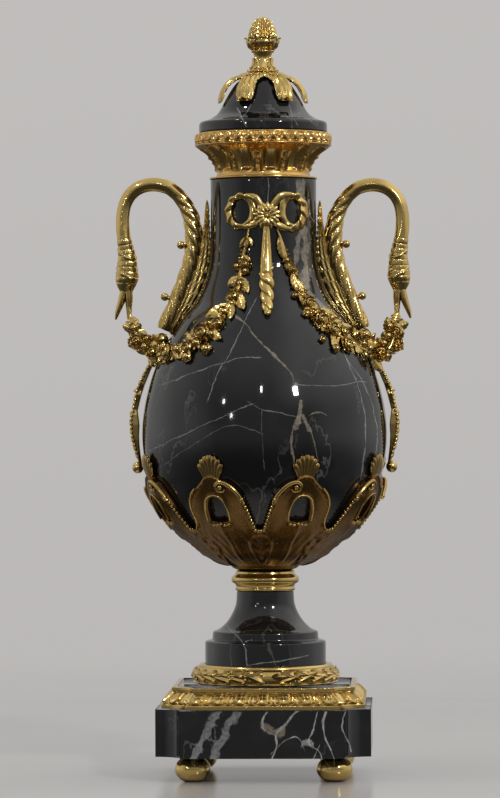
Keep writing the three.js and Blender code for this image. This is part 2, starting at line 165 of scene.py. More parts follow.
def smooth_line(points: Sequence[Point], steps: int) -> Array:
    """Returns evenly run points on a smooth curve through a few points.

    Args:
        points: the points to pass through, in two or three dimensions.
        steps: how many steps between neighbours.
    """
    p = np.array(points, float)
    p = np.vstack([2 * p[0] - p[1], p, 2 * p[-1] - p[-2]])
    t = np.linspace(0, 1, steps, endpoint=False)[:, None]
    spans = [
        0.5 * (2 * b + (c - a) * t + (2 * a - 5 * b + 4 * c - d) * t**2 + (3 * b - a - 3 * c + d) * t**3)
        for a, b, c, d in zip(p, p[1:], p[2:], p[3:])
    ]
    return np.vstack([*spans, p[-2][None]])


def eased(points: Sequence[Point], radius: float, steps: int = 3) -> Array:
    """Returns an open line with each inner corner rounded.

    Args:
        points: the line's corners.
        radius: how far from a corner the rounding starts, at most.
        steps: how many steps round a corner.
    """
    p = np.array(points, float)
    out = [p[0]]
    for a, b, c in zip(p, p[1:], p[2:]):
        before, after = np.linalg.norm(a - b), np.linalg.norm(c - b)
        start = b + (a - b) / before * min(radius, before * 0.45)
        finish = b + (c - b) / after * min(radius, after * 0.45)
        for t in np.linspace(0, 1, steps + 1):
            out.append((1 - t) ** 2 * start + 2 * t * (1 - t) * b + t**2 * finish)
    out.append(p[-1])
    return np.array(out)


def revolve(profile: Array, sides: int = 128) -> Part:
    """Turns a [radius, height] line about the urn's axis.

    Args:
        profile: from the axis to the axis, or a ring's section with its ends left open to each other.
        sides: how many steps round.
    """
    angle = np.linspace(0, 2 * math.pi, sides, endpoint=False)
    poles = [None, None]
    body = profile
    if profile[0][0] < 1e-6:
        poles = [(0, 0, profile[0][1]), (0, 0, profile[-1][1])]
        body = profile[1:-1]
    r, z = body[:, :1], body[:, 1:]
    rings = np.stack([r * np.sin(angle), -r * np.cos(angle), z + 0 * angle], -1)
    return loft(rings, loop=poles[0] is None, start=poles[0], end=poles[1])


def frames_along(path: Array, up: Point) -> tuple[Array, Array, Array]:
    """Returns a path's directions, sideways directions and upward directions.

    Args:
        path: (n, 3) points.
        up: the direction that the upward ones stay close to, or one for each point.
    """
    along = np.gradient(path, axis=0)
    along /= np.linalg.norm(along, axis=1)[:, None]
    side = np.cross(along, np.broadcast_to(np.array(up, float), path.shape))
    side /= np.linalg.norm(side, axis=1)[:, None]
    return along, side, np.cross(side, along)


def tube(path: Array, radius: Array | float, up: Point = (0, 1, 0), sides: int = 12,
         flat: float = 1.0) -> Part:
    """Makes a closed tube along a path.

    Args:
        path: (n, 3) points.
        radius: one radius, one a ring as (n,), or one a vertex as (n, sides).
        up: see frames_along.
        sides: how many vertices a ring has.
        flat: the section's size along the upward direction, as a share of its width.
    """
    _, side, upward = frames_along(path, up)
    psi = np.linspace(0, 2 * math.pi, sides, endpoint=False)
    size = np.broadcast_to(np.asarray(radius, float).reshape(-1, 1) if np.ndim(radius) == 1 else radius,
                           (len(path), sides))
    across = (size * np.cos(psi))[..., None] * side[:, None]
    over = (size * flat * np.sin(psi))[..., None] * upward[:, None]
    return loft(path[:, None] + across + over)


def ball(centre: Point, radius: float, stretch: Point = (1, 1, 1), sides: int = 12) -> Part:
    """Makes a ball or an egg.

    Args:
        centre: where it is.
        radius: its radius.
        stretch: its size along X, Y and Z as shares of the radius.
        sides: how many steps round.
    """
    tilt = np.linspace(-math.pi / 2, math.pi / 2, sides // 2 + 1)
    profile = np.stack([radius * np.cos(tilt), radius * np.sin(tilt)], -1)
    profile[[0, -1], 0] = 0
    return revolve(profile, sides).mapped(lambda p: p * np.array(stretch) + np.array(centre))


def sheet(place: Place, across: Array, along: Array, height: Array, thick: float) -> Part:
    """Makes a thin closed plate from a grid.

    Args:
        place: turns across, along and height into points.
        across: (rows, columns) distances across.
        along: (rows, columns) distances along.
        height: (rows, columns) heights of the outer face.
        thick: the plate's thickness.
    """
    top = place(across, along, height)
    under = place(across, along, height - thick)
    return loft(np.concatenate([top, under[:, ::-1]], 1))


def on_frame(origin: Point, across: Point, along: Point) -> Place:
    """Returns a place rule for a flat patch with its corner at origin."""
    o, x = np.array(origin, float), np.array(across, float)
    y = np.array(along, float)
    x, y = x / np.linalg.norm(x), y / np.linalg.norm(y)
    out = np.cross(x, y)
    return lambda u, v, h: o + u[..., None] * x + v[..., None] * y + h[..., None] * out


class Meridian:
    """A [radius, height] line that ornaments are laid along, each point with its outward direction."""

    def __init__(self, points: Array) -> None:
        """Takes the line's points. Its outward side is on the right as it rises."""
        self.line = np.array(points, float)
        steps = np.linalg.norm(np.diff(self.line, axis=0), axis=1)
        self.run = np.concatenate([[0], np.cumsum(steps)])
        tangent = np.gradient(self.line, self.run, axis=0)
        tangent /= np.linalg.norm(tangent, axis=1)[:, None]
        self.normal = np.stack([tangent[:, 1], -tangent[:, 0]], -1)

    @property
    def length(self) -> float:
        """The line's length."""
        return float(self.run[-1])

    def at_height(self, height: Array | float) -> Array:
        """Returns how far along the line a height is, on a line that rises."""
        return np.interp(height, self.line[:, 1], self.run)

    def radius(self, height: Array | float) -> Array:
        """Returns the radius at a height, on a line that rises."""
        return np.interp(height, self.line[:, 1], self.line[:, 0])

    def points(self, angle: Array, along: Array, out: Array) -> Array:
        """Returns places at angles in degrees, distances along the line, and distances out from it."""
        r, z, nr, nz = (
            np.interp(along, self.run, column)
            for column in (self.line[:, 0], self.line[:, 1], self.normal[:, 0], self.normal[:, 1])
        )
        a, r = np.radians(angle), r + nr * out
        return np.stack([r * np.sin(a), -r * np.cos(a), z + nz * out], -1)

    def patch(self, angle: float, start: float, heading: float = 0.0, out: float = 0.0) -> Place:
        """Returns a place rule for a patch that lies on the turned surface.

        Args:
            angle: the patch's angle.
            start: how far along the line its origin is.
            heading: the patch's turn in its own plane, in degrees.
            out: how far it stands off.
        """
        cos, sin = math.cos(math.radians(heading)), math.sin(math.radians(heading))

        def rule(u: Array, v: Array, h: Array) -> Array:
            along = start + v * cos - u * sin
            radius = np.maximum(np.interp(along, self.run, self.line[:, 0]), 3.0)
            return self.points(angle + np.degrees((u * cos + v * sin) / radius), along, h + out)

        return rule


@dataclass(frozen=True)
class Blade:
    """A leaf or petal: a thin plate with lobes, ribs and a curl.

    Attributes:
        length: from foot to tip.
        width: across the widest place.
        thick: the plate's thickness.
        widest: where along it is widest, as a share.
        lobes: how many lobes each edge has.
        lobe_depth: how deep they are cut, as a share of the width.
        crown: how far its middle stands above its edges; negative for a cup.
        rib: the height of the middle rib.
        curl: how far its tip lifts.
        rows: grid steps along.
        columns: grid steps across.
    """

    length: float
    width: float
    thick: float = 0.8
    widest: float = 0.45
    lobes: int = 0
    lobe_depth: float = 0.0
    crown: float = 0.8
    rib: float = 0.3
    curl: float = 0.0
    rows: int = 9
    columns: int = 6

    def part(self, place: Place) -> Part:
        """Returns the blade, laid by a place rule with its foot at the patch's origin."""
        s = np.linspace(0.02, 0.985, self.rows * max(1, self.lobes // 2 + 1))[:, None]
        t = np.linspace(-1, 1, self.columns + 1)[None, :]
        power = math.log(0.5) / math.log(self.widest)
        half = self.width / 2 * np.sin(math.pi * s**power) ** 0.75
        if self.lobes:
            half = half * (1 - self.lobe_depth * (1 - np.abs(np.sin(math.pi * self.lobes * s))))
        veins = 0.0
        if self.lobes:
            veins = 0.35 * self.rib * np.cos(2 * math.pi * (self.lobes * s - 0.9 * np.abs(t)))
        height = self.crown * (1 - t**2) + self.rib * hump(t, 0.25) + veins + self.curl * s**2.5
        across = half * t
        along = self.length * s + 0 * t
        return sheet(place, across, along, height + 0 * s, self.thick)


@dataclass(frozen=True)
class CutPlate:
    """A plate cut to an outline with openings, with relief on its outer face.

    Attributes:
        outline: the outline's points, in its own flat units.
        openings: the openings' outlines.
        spacing: the size of the grid that fills it.
    """

    outline: Array
    openings: tuple[Array, ...] = ()
    spacing: float = 1.0

    @staticmethod
    def inside(points: Array, ring: Array) -> Array:
        """Returns which points lie within a ring."""
        x, y = points[:, :1], points[:, 1:]
        a, b = ring, np.roll(ring, -1, 0)
        straddles = (a[:, 1] > y) != (b[:, 1] > y)
        rise = np.where(b[:, 1] == a[:, 1], 1e-12, b[:, 1] - a[:, 1])
        crosses = x < (b[:, 0] - a[:, 0]) * (y - a[:, 1]) / rise + a[:, 0]
        return np.sum(straddles & crosses, 1) % 2 == 1

    @staticmethod
    def distance(points: Array, ring: Array) -> Array:
        """Returns each point's distance from a ring's line."""
        a, b = ring, np.roll(ring, -1, 0)
        d = b - a
        reach = np.maximum((d**2).sum(1), 1e-12)
        t = unit(((points[:, None] - a) * d).sum(2) / reach)
        return np.linalg.norm(points[:, None] - (a + t[..., None] * d), axis=2).min(1)

    def triangles(self) -> tuple[Array, Array]:
        """Returns the flat plate's points and its triangles."""
        rings = [self.outline, *self.openings]
        low, high = self.outline.min(0), self.outline.max(0)
        rows = np.arange(low[1], high[1], self.spacing * 0.87)
        grid = np.vstack([
            np.stack([np.arange(low[0] + self.spacing / 2 * (i % 2), high[0], self.spacing),
                      np.full(len(np.arange(low[0] + self.spacing / 2 * (i % 2), high[0], self.spacing)),
                              y)], -1)
            for i, y in enumerate(rows)
        ])
        keep = self.inside(grid, self.outline)
        for ring in self.openings:
            keep &= ~self.inside(grid, ring)
        for ring in rings:
            keep &= self.distance(grid, ring) > self.spacing * 0.45
        flat, edges = [*np.vstack([*rings, grid[keep]])], []
        start = 0
        for ring in rings:
            edges += [(start + k, start + (k + 1) % len(ring)) for k in range(len(ring))]
            start += len(ring)
        made = delaunay_2d_cdt([Vector(p) for p in flat], edges, [], 0, 1e-6)
        points, faces = np.array([tuple(p) for p in made[0]]), np.array(made[2])
        middle = points[faces].mean(1)
        kept = self.inside(middle, self.outline)
        for ring in self.openings:
            kept &= ~self.inside(middle, ring)
        return points, faces[kept]

    def part(self, place: Callable[[Array], Array], under: Callable[[Array], Array],
             open_sides: Callable[[Array], Array] | None = None) -> Part:
        """Makes the plate.

        Args:
            place: turns flat points into points on the outer face.
            under: turns flat points into points on the inner face.
            open_sides: tells which flat points lie on a side that joins a neighbour and gets no wall.

        Returns:
            The surface, closed but for the open sides.
        """
        flat, faces = self.triangles()
        edges = np.concatenate([faces[:, [0, 1]], faces[:, [1, 2]], faces[:, [2, 0]]])
        seen = {}
        for a, b in edges.tolist():
            seen[(a, b)] = True
        rim = np.array([(a, b) for a, b in seen if (b, a) not in seen])
        if open_sides is not None:
            shared = open_sides(flat)
            rim = rim[~(shared[rim[:, 0]] & shared[rim[:, 1]])]
        count = len(flat)
        walls = np.stack([rim[:, 1], rim[:, 0], rim[:, 0] + count, rim[:, 1] + count], -1)
        tris = np.vstack([faces, faces[:, ::-1] + count])
        return Part(np.vstack([place(flat), under(flat)]), walls, tris).outward()


class Casting:
    """Surfaces gathered into one piece."""

    def __init__(self, name: str) -> None:
        """Takes the piece's name."""
        self.name = name
        self.parts: list[Part] = []

    def add(self, *parts: Part) -> "Casting":
        """Adds surfaces."""
        self.parts += parts
        return self

    def ring(self, count: int, part: Part, first: float = 0.0) -> "Casting":
        """Adds evenly turned copies of a surface round the axis."""
        return self.add(*(part.turned(first + k * 360 / count) for k in range(count)))

    def made(self, weld: float = 0.0, crease: float = 35.0) -> bpy.types.Object:
        """Makes the Blender object.

        Args:
            weld: vertices closer than this become one, in millimetres.
            crease: edges that fold more than this many degrees stay sharp.
        """
        points, loops, sizes, start = [], [], [], 0
        for part in self.parts:
            points.append(part.points)
            for faces in (part.quads, part.tris):
                if len(faces):
                    loops.append((faces + start).ravel())
                    sizes.append(np.full(len(faces), faces.shape[1]))
            start += len(part.points)
        xyz, corners, size = np.vstack(points) * MM, np.concatenate(loops), np.concatenate(sizes)
        mesh = bpy.data.meshes.new(self.name)
        mesh.vertices.add(len(xyz))
        mesh.vertices.foreach_set("co", xyz.astype(np.float32).ravel())
        mesh.loops.add(len(corners))
        mesh.loops.foreach_set("vertex_index", corners.astype(np.int32))
        mesh.polygons.add(len(size))
        mesh.polygons.foreach_set("loop_start", (np.cumsum(size) - size).astype(np.int32))
        mesh.update(calc_edges=True)
        mesh.validate()
        if weld:
            self.welded(mesh, weld)
        mesh.polygons.foreach_set("use_smooth", np.ones(len(mesh.polygons), bool))
        mesh.set_sharp_from_angle(angle=math.radians(crease))
        piece = bpy.data.objects.new(self.name, mesh)
        bpy.context.scene.collection.objects.link(piece)
        return piece

    @staticmethod
    def welded(mesh: bpy.types.Mesh, distance: float) -> None:
        """Merges a mesh's vertices that lie within a distance in millimetres."""
        import bmesh

        shape = bmesh.new()
        shape.from_mesh(mesh)
        bmesh.ops.remove_doubles(shape, verts=shape.verts, dist=distance * MM)
        shape.to_mesh(mesh)
        shape.free()


# ---- Finishes --------------------------------------------------------------------------------------------


class Graph:
    """A short way to write a material's or the world's nodes."""

    def __init__(self, owner: bpy.types.Material | bpy.types.World) -> None:
        """Empties the owner's nodes."""
        owner.use_nodes = True
        self.tree = owner.node_tree
        self.tree.nodes.clear()

    def node(self, kind: str, *inputs: object, **settings: object) -> bpy.types.Node:
        """Adds a node.

        Args:
            kind: its type, without the ShaderNode prefix.
            inputs: values or sockets for its first inputs; None leaves one as it is.
            settings: its properties.
        """
        made = self.tree.nodes.new("ShaderNode" + kind)
        for name, value in settings.items():
            setattr(made, name, value)
        for k, value in enumerate(inputs):
            self.feed(made.inputs[k], value)
        return made

    def feed(self, socket: bpy.types.NodeSocket, value: object) -> None:
        """Links a socket, or sets its value."""
        if isinstance(value, bpy.types.NodeSocket):
            self.tree.links.new(value, socket)
        elif value is not None:
            socket.default_value = value

    def math(self, operation: str, *inputs: object, clamp: bool = False) -> bpy.types.NodeSocket:
        """Returns a math node's result."""
        return self.node("Math", *inputs, operation=operation, use_clamp=clamp).outputs[0]

    def remap(self, value: object, low: float, high: float, to_low: float = 0.0, to_high: float = 1.0,
              smooth: bool = True) -> bpy.types.NodeSocket:
        """Returns a value carried from one range to another, clamped."""
        kind = "SMOOTHSTEP" if smooth else "LINEAR"
        return self.node("MapRange", value, low, high, to_low, to_high, interpolation_type=kind).outputs[0]

    def mix(self, share: object, low: object, high: object) -> bpy.types.NodeSocket:
        """Returns a blend of two colours."""
        made = self.node("Mix", data_type="RGBA")
        for name, value in (("Factor_Float", share), ("A_Color", low), ("B_Color", high)):
            self.feed(next(s for s in made.inputs if s.identifier == name), value)
        return next(s for s in made.outputs if s.identifier == "Result_Color")

    def noise(self, place: object, scale: float, detail: float = 3.0,
              roughness: float = 0.5) -> bpy.types.Node:
        """Returns a noise node."""
        return self.node("TexNoise", place, None, scale, detail, roughness)

    def place(self) -> bpy.types.NodeSocket:
        """Returns the object coordinates, in metres."""
        return self.node("TexCoord").outputs["Object"]


class Run(Enum):
    """Which way a vein runs, so which coordinate its course is told along."""

    RISING = "z"
    LEVEL = "x"


@dataclass(frozen=True)
class Vein:
    """One vein seen on one face of the stone.

    Attributes:
        run: whether it is told as sideways places up the height, or as heights across the width.
        course: (place along the run, place across it), rising in the first, in millimetres.
        width: its width.
        colour: its colour.
        strength: how strongly it shows.
        front: whether it is on the front; otherwise on the back.
    """

    run: Run
    course: tuple[tuple[float, float], ...]
    width: float
    colour: tuple[float, float, float] = (0.42, 0.41, 0.39)
    strength: float = 0.8
    front: bool = True

    def mask(self, graph: Graph, along: object, across: object, depth: object,
             swell: object) -> bpy.types.NodeSocket:
        """Returns how much of the vein shows at a place.

        Args:
            graph: the material's graph.
            along: the place along the run, in millimetres, already wavered.
            across: the place across it.
            depth: the Y place, which tells front from back.
            swell: how much wider than its width the vein is there.
        """
        first, last = self.course[0][0], self.course[-1][0]
        offsets = [offset for _, offset in self.course]
        low, high = min(offsets) - 1, max(offsets) + 1
        share = graph.node("MapRange", along, first, last, 0.0, 1.0).outputs[0]
        curve = graph.node("FloatCurve", 1.0, share)
        points = curve.mapping.curves[0].points
        stops = [((a - first) / (last - first), (b - low) / (high - low)) for a, b in self.course]
        points[0].location, points[1].location = stops[0], stops[-1]
        for stop in stops[1:-1]:
            points.new(*stop)
        curve.mapping.update()
        middle = graph.math("MULTIPLY_ADD", curve.outputs[0], high - low, low)
        off = graph.math("ABSOLUTE", graph.math("SUBTRACT", across, middle))
        off = graph.math("DIVIDE", off, swell)
        body = graph.remap(off, self.width * 0.6, self.width * 0.3)
        ends = graph.math("MINIMUM", share, graph.math("SUBTRACT", 1.0, share))
        fade = graph.remap(ends, 0.0, 0.05)
        side = graph.math("LESS_THAN" if self.front else "GREATER_THAN", depth, 0.0)
        shown = graph.math("MULTIPLY", graph.math("MULTIPLY", body, fade), side)
        return graph.math("MULTIPLY", shown, self.strength)


@dataclass(frozen=True)
class Marble:
    """Polished black marble with its natural veins.

    Attributes:
        name: the finish's name.
        seed: moves the natural veins, so that no two pieces match.
        veins: the veins with a place of their own.
        netting: how strongly the natural thin veins show.
    """

    name: str
    seed: float
    veins: tuple[Vein, ...] = ()
    netting: float = 0.35
    ground: tuple[float, float, float] = (0.0075, 0.0075, 0.008)

    def threads(self, graph: Graph, place: object, scale: float, shift: float,
                width: float) -> bpy.types.NodeSocket:
        """Returns thin wandering threads: where a stretched noise passes its middle value."""
        moved = graph.node("Mapping", place, (self.seed + shift, shift * 2.7, -self.seed), (0.5, 0.3, shift))
        moved.inputs[3].default_value = (1.0, 1.0, 0.45)
        field_ = graph.noise(moved.outputs[0], scale, 5.0, 0.55).outputs[0]
        off = graph.math("ABSOLUTE", graph.math("SUBTRACT", field_, 0.5))
        thread = graph.remap(off, width, width * 0.25)
        patch = graph.remap(graph.noise(moved.outputs[0], scale * 0.7, 1.0).outputs[0], 0.5, 0.68)
        return graph.math("MULTIPLY", thread, patch)

    def material(self) -> bpy.types.Material:
        """Returns the material."""
        made = bpy.data.materials.new(self.name)
        graph = Graph(made)
        place = graph.place()
        waver = graph.noise(place, 75.0, 5.0, 0.58)
        swell = graph.remap(graph.noise(place, 130.0, 3.0).outputs[0], 0.3, 0.72, 0.35, 1.5)
        shift = graph.node("VectorMath", waver.outputs[1], (0.5, 0.5, 0.5), operation="SUBTRACT").outputs[0]
        shift = graph.node("VectorMath", shift, operation="SCALE")
        shift.inputs["Scale"].default_value = 0.0042
        wavered = graph.node("VectorMath", place, shift.outputs[0], operation="ADD").outputs[0]
        split = graph.node("SeparateXYZ", wavered)
        x, y, z = (graph.math("MULTIPLY", split.outputs[k], 1000.0) for k in range(3))
        clouds = graph.noise(place, 28.0, 5.0, 0.6).outputs[0]
        cloudy = graph.remap(clouds, 0.45, 0.8)
        colour = graph.mix(cloudy, (*self.ground, 1), (0.02, 0.019, 0.02, 1))
        for scale, offset, width, strength in ((9.0, 0.0, 0.006, 1.0), (21.0, 3.1, 0.008, 0.6)):
            thread = self.threads(graph, wavered, scale, offset, width)
            colour = graph.mix(graph.math("MULTIPLY", thread, strength * self.netting), colour,
                               (0.42, 0.4, 0.37, 1))
        cracks = graph.remap(graph.noise(place, 420.0, 2.0).outputs[0], 0.3, 0.62, 0.55, 1.0)
        for vein in self.veins:
            along, across = (z, x) if vein.run is Run.RISING else (x, z)
            shown = graph.math("MULTIPLY", vein.mask(graph, along, across, y, swell), cracks)
            colour = graph.mix(shown, colour, (*vein.colour, 1))
        shader = graph.node("BsdfPrincipled")
        graph.feed(shader.inputs["Base Color"], colour)
        wear = graph.noise(place, 60.0, 3.0).outputs[0]
        graph.feed(shader.inputs["Roughness"], graph.remap(wear, 0.35, 0.75, 0.035, 0.09))
        shader.inputs["IOR"].default_value = 1.56
        shader.inputs["Coat Weight"].default_value = 0.0
        ripple = graph.node("Bump", 0.04, 0.0006)
        graph.feed(ripple.inputs["Height"], graph.noise(place, 34.0, 2.0).outputs[0])
        graph.feed(shader.inputs["Normal"], ripple.outputs[0])
        output = graph.node("OutputMaterial")
        graph.feed(output.inputs[0], shader.outputs[0])
        return made


@dataclass(frozen=True)
class Gilt:
    """Mercury-gilt bronze: bright where it is burnished, dulled by random patches of tarnish, and brown in
    its hollows, where painted shade lies over the grime settled there.

    Attributes:
        name: the finish's name.
        bright: the gold's colour.
        recess: the colour painted into the hollows, standing for their shade and their grime together.
        depth: how far apart two surfaces still make a hollow that gets the painted shade, in millimetres.
        roughness: the lowest and highest roughness.
        tooling: the height of the fine chasing marks, in millimetres.
        grime: how strongly patches of tarnish show on the open surface.
    """

    name: str
    bright: tuple[float, float, float] = (0.66, 0.475, 0.17)
    recess: tuple[float, float, float] = (0.17, 0.085, 0.024)
    depth: float = 3.5
    roughness: tuple[float, float] = (0.15, 0.27)
    tooling: float = 0.01
    grime: float = 0.4

    def material(self) -> bpy.types.Material:
        """Returns the material."""
        made = bpy.data.materials.new(self.name)
        graph = Graph(made)
        place = graph.place()
        # Painted shade: ambient occlusion turns the colour towards the recess brown in hollows and creases,
        # along with the grime that sits there.
        hollow = graph.node("AmbientOcclusion", samples=8)
        hollow.inputs["Distance"].default_value = self.depth * MM
        open_ = graph.remap(hollow.outputs["AO"], 0.12, 0.8)
        patches = graph.noise(place, 160.0, 4.0, 0.6).outputs[0]
        grime = graph.math("MULTIPLY", graph.remap(patches, 0.5, 0.78), self.grime)
        dulled = [0.5 * (a + b) for a, b in zip(self.bright, self.recess)]
        worn = graph.mix(grime, (*self.bright, 1), (*dulled, 1))
        colour = graph.mix(open_, (*self.recess, 1), worn)
        low, high = self.roughness
        fine = graph.noise(place, 700.0, 3.0, 0.6).outputs[0]
        rough = graph.math("ADD", graph.remap(fine, 0.35, 0.7, low, high), graph.math("MULTIPLY", grime, 0.2))
        rough = graph.math("ADD", rough, graph.remap(open_, 0.0, 1.0, 0.18, 0.0))
        shader = graph.node("BsdfPrincipled")
        graph.feed(shader.inputs["Base Color"], colour)
        graph.feed(shader.inputs["Roughness"], rough)
        shader.inputs["Metallic"].default_value = 1.0
        chased = graph.node("Bump", 0.5, self.tooling * MM)
        graph.feed(chased.inputs["Height"], graph.noise(place, 420.0, 2.0).outputs[0])
        graph.feed(shader.inputs["Normal"], chased.outputs[0])
        output = graph.node("OutputMaterial")
        graph.feed(output.inputs[0], shader.outputs[0])
        return made


class Slot(Enum):
    """The material slots' names."""

    MARBLE = "marble"
    GILT = "gilt_bronze"


def dressed(piece: bpy.types.Object, finish: Marble | Gilt, nodes: Iterable[str]) -> bpy.types.Object:
    """Gives a piece its finish, and makes it stand for its frame nodes.

    Args:
        piece: the piece.
        finish: its finish.
        nodes: the frame nodes that it replaces.

    Returns:
        The piece.
    """
    material = bpy.data.materials.get(finish.name) or finish.material()
    piece.data.materials.append(material)
    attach(piece, ROOT)
    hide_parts(*nodes)
    LOG.info("%s: %d faces, %s", piece.name, len(piece.data.polygons), finish.name)
    return piece


TAN = (0.3, 0.26, 0.2)
GREY = (0.27, 0.27, 0.28)
WHITE = (0.5, 0.49, 0.47)

VESSEL_VEINS = (
    Vein(Run.RISING, ((421, 4.3), (433, 5.1), (444, 4.8)), 0.9, GREY, 0.8),
    Vein(Run.RISING, ((378, 24.4), (389, 25.7), (399, 27.1), (409, 30), (427, 30.1), (444, 30.2)), 3.6, TAN,
         0.75),
    Vein(Run.RISING, ((341, 49), (351, 42.5), (357, 36.6), (363, 33), (372, 32.2), (381, 31.4), (393, 32.1),
                      (404, 31.5),
                      (423, 27.9), (444, 26.6)), 4.6, TAN, 0.8),
    Vein(Run.RISING, ((361, 31.6), (368, 31.8), (377, 32)), 7.0, TAN, 0.7),
    Vein(Run.RISING, ((408, 41.5), (416, 35.9), (428, 34)), 0.9, GREY, 0.6),
    Vein(Run.RISING, ((277, -39.4), (291, -34.6), (305, -28.1), (316, -20.9), (334, -13.2), (356, -3)),
         0.75, GREY, 0.85),
    Vein(Run.LEVEL, ((-78, 290), (-60, 296), (-48, 300.3), (-28, 306.7), (-15, 310.3), (2, 310.9)), 0.8,
         GREY, 0.8),
    Vein(Run.LEVEL, ((-20, 342), (-11, 335.2), (-3.5, 326.3), (2.5, 319)), 2.0, TAN, 0.8),
    Vein(Run.LEVEL, ((2, 319.5), (8.3, 313.8), (14.9, 307.2), (20.7, 301.4), (24.5, 290)), 2.6, TAN, 0.8),
    Vein(Run.LEVEL, ((-86, 241), (-59, 253.7), (-44, 260.3), (-23, 269.7), (-3, 277.3)), 0.8, GREY, 0.85),
    Vein(Run.LEVEL, ((-74, 231), (-44, 250), (-20, 261), (-7, 258), (5, 253)), 0.65, GREY, 0.6),
    Vein(Run.LEVEL, ((-10, 279), (1.3, 273.2), (13, 271), (27, 268)), 0.7, GREY, 0.7),
    Vein(Run.LEVEL, ((24, 291.6), (39.5, 289.7), (50.3, 289.6), (63, 291.1), (78, 293)), 0.75, GREY, 0.75),
    Vein(Run.RISING, ((262, 27.6), (268.7, 28.2), (274, 29), (280, 29.4)), 3.2, TAN, 0.75),
    Vein(Run.RISING, ((257.5, 24.6), (263, 26.4), (269, 28.5)), 4.6, TAN, 0.75),
    Vein(Run.RISING, ((256, 35.6), (262, 33.4), (270, 30.4)), 3.4, TAN, 0.7),
    Vein(Run.RISING, ((229, 26), (238, 23.4), (247, 22.2), (259, 23.4)), 1.5, TAN, 0.75),
    Vein(Run.RISING, ((234, 41.8), (246, 39.4), (258, 36.4)), 0.9, TAN, 0.6),
    Vein(Run.LEVEL, ((35, 267.6), (41.7, 270.1), (48, 268)), 0.9, TAN, 0.7),
    Vein(Run.RISING, ((219, 71.4), (257, 76), (283, 71.9), (301, 66.1), (318, 57.8)), 0.9, GREY, 0.8),
    Vein(Run.RISING, ((238, 83.2), (257, 84.1), (288, 76.2), (300, 68.9), (312, 60.6)), 0.8, GREY, 0.75),
    Vein(Run.RISING, ((228, 3.3), (251, 1.3), (274, 1.3)), 0.6, GREY, 0.4),
    Vein(Run.LEVEL, ((-80, 262), (-30, 285), (10, 240), (60, 225)), 0.9, GREY, 0.7, False),
    Vein(Run.RISING, ((210, 30), (260, 12), (330, -20), (444, -10)), 1.6, TAN, 0.7, False),
)
PLINTH_VEINS = (
    Vein(Run.RISING, ((17, -51), (37, -40.8), (54, -31)), 7.2, GREY, 0.75),
    Vein(Run.RISING, ((17, -36.5), (38.6, -26.3), (54, -17)), 6.6, GREY, 0.72),
    Vein(Run.RISING, ((17, 6.5), (34, 10), (37.7, 5.7), (41.3, 0), (54, 4)), 2.2, WHITE, 0.7),
    Vein(Run.RISING, ((34, 9.6), (37, 11), (43.5, 16), (54, 26)), 2.4, WHITE, 0.7),
    Vein(Run.LEVEL, ((-2, 43), (4, 40), (12, 37.4), (17, 40)), 6.5, TAN, 0.6),
    Vein(Run.LEVEL, ((6, 21), (13.6, 29.7), (19.5, 33.3), (24.5, 34.7), (29.5, 28), (31, 18)), 0.9, WHITE,
         0.75),
    Vein(Run.RISING, ((17, 43), (25.2, 40.5), (31, 34), (41.2, 37.7), (54, 40.6)), 1.3, WHITE, 0.75),
    Vein(Run.LEVEL, ((28, 29.6), (33, 31.6), (38, 29)), 4.5, WHITE, 0.6),
    Vein(Run.RISING, ((17, 52.6), (28.8, 48.5), (39.7, 44.9), (54, 46.8)), 1.6, WHITE, 0.75),
    Vein(Run.RISING, ((22, 64.6), (28.7, 63), (36, 60.1), (42.5, 58), (54, 60.6)), 0.9, WHITE, 0.7),
    Vein(Run.RISING, ((17, 36), (24, 39.4), (30, 42)), 0.8, WHITE, 0.6),
    Vein(Run.RISING, ((17, -20), (36, 5), (54, 30)), 6.0, GREY, 0.6, False),
)
SOCLE_VEINS = (
    Vein(Run.RISING, ((84, -11.6), (89, -12.2), (98.8, -14.4), (110.6, -26.1), (116, -31)), 0.9, GREY, 0.85),
    Vein(Run.LEVEL, ((-12, 85), (8, 87.2), (20, 89), (34, 91.4)), 0.8, GREY, 0.8),
)
LID_VEINS = (
    Vein(Run.RISING, ((479, -9.2), (485.8, -13.5), (490.2, -15.6), (496, -19)), 1.2, GREY, 0.85),
    Vein(Run.RISING, ((489, -13.4), (492.4, -10.5), (498, -8)), 0.8, GREY, 0.7),
    Vein(Run.RISING, ((481, 27), (492, 22), (503, 19)), 0.7, GREY, 0.6),
)


# ---- Base ------------------------------------------------------------------------------------------------


def notched(half: float, notch: float, steps: int = 20, run: int = 2) -> Array:
    """Returns a square's outline whose corners are cut by quarter circles that curve inwards.

    Args:
        half: half the square's width.
        notch: the quarter circles' radius.
        steps: steps round each quarter circle.
        run: steps along each straight side.
    """
    arc = np.radians(np.linspace(-90, -180, steps + 1))
    side = np.stack([np.full(run, half), np.linspace(-half + notch, half - notch, run, endpoint=False)], -1)
    quarter = np.vstack([side, half + notch * np.stack([np.cos(arc), np.sin(arc)], -1)[:-1]])
    turns = [quarter]
    for _ in range(3):
        last = turns[-1]
        turns.append(np.stack([-last[:, 1], last[:, 0]], -1))
    return np.vstack(turns)


def slab(outlines: Sequence[tuple[float, Array]]) -> Part:
    """Makes a closed slab from outlines at heights, from the bottom up."""
    return loft(np.stack([np.column_stack([line, np.full(len(line), z)]) for z, line in outlines]))


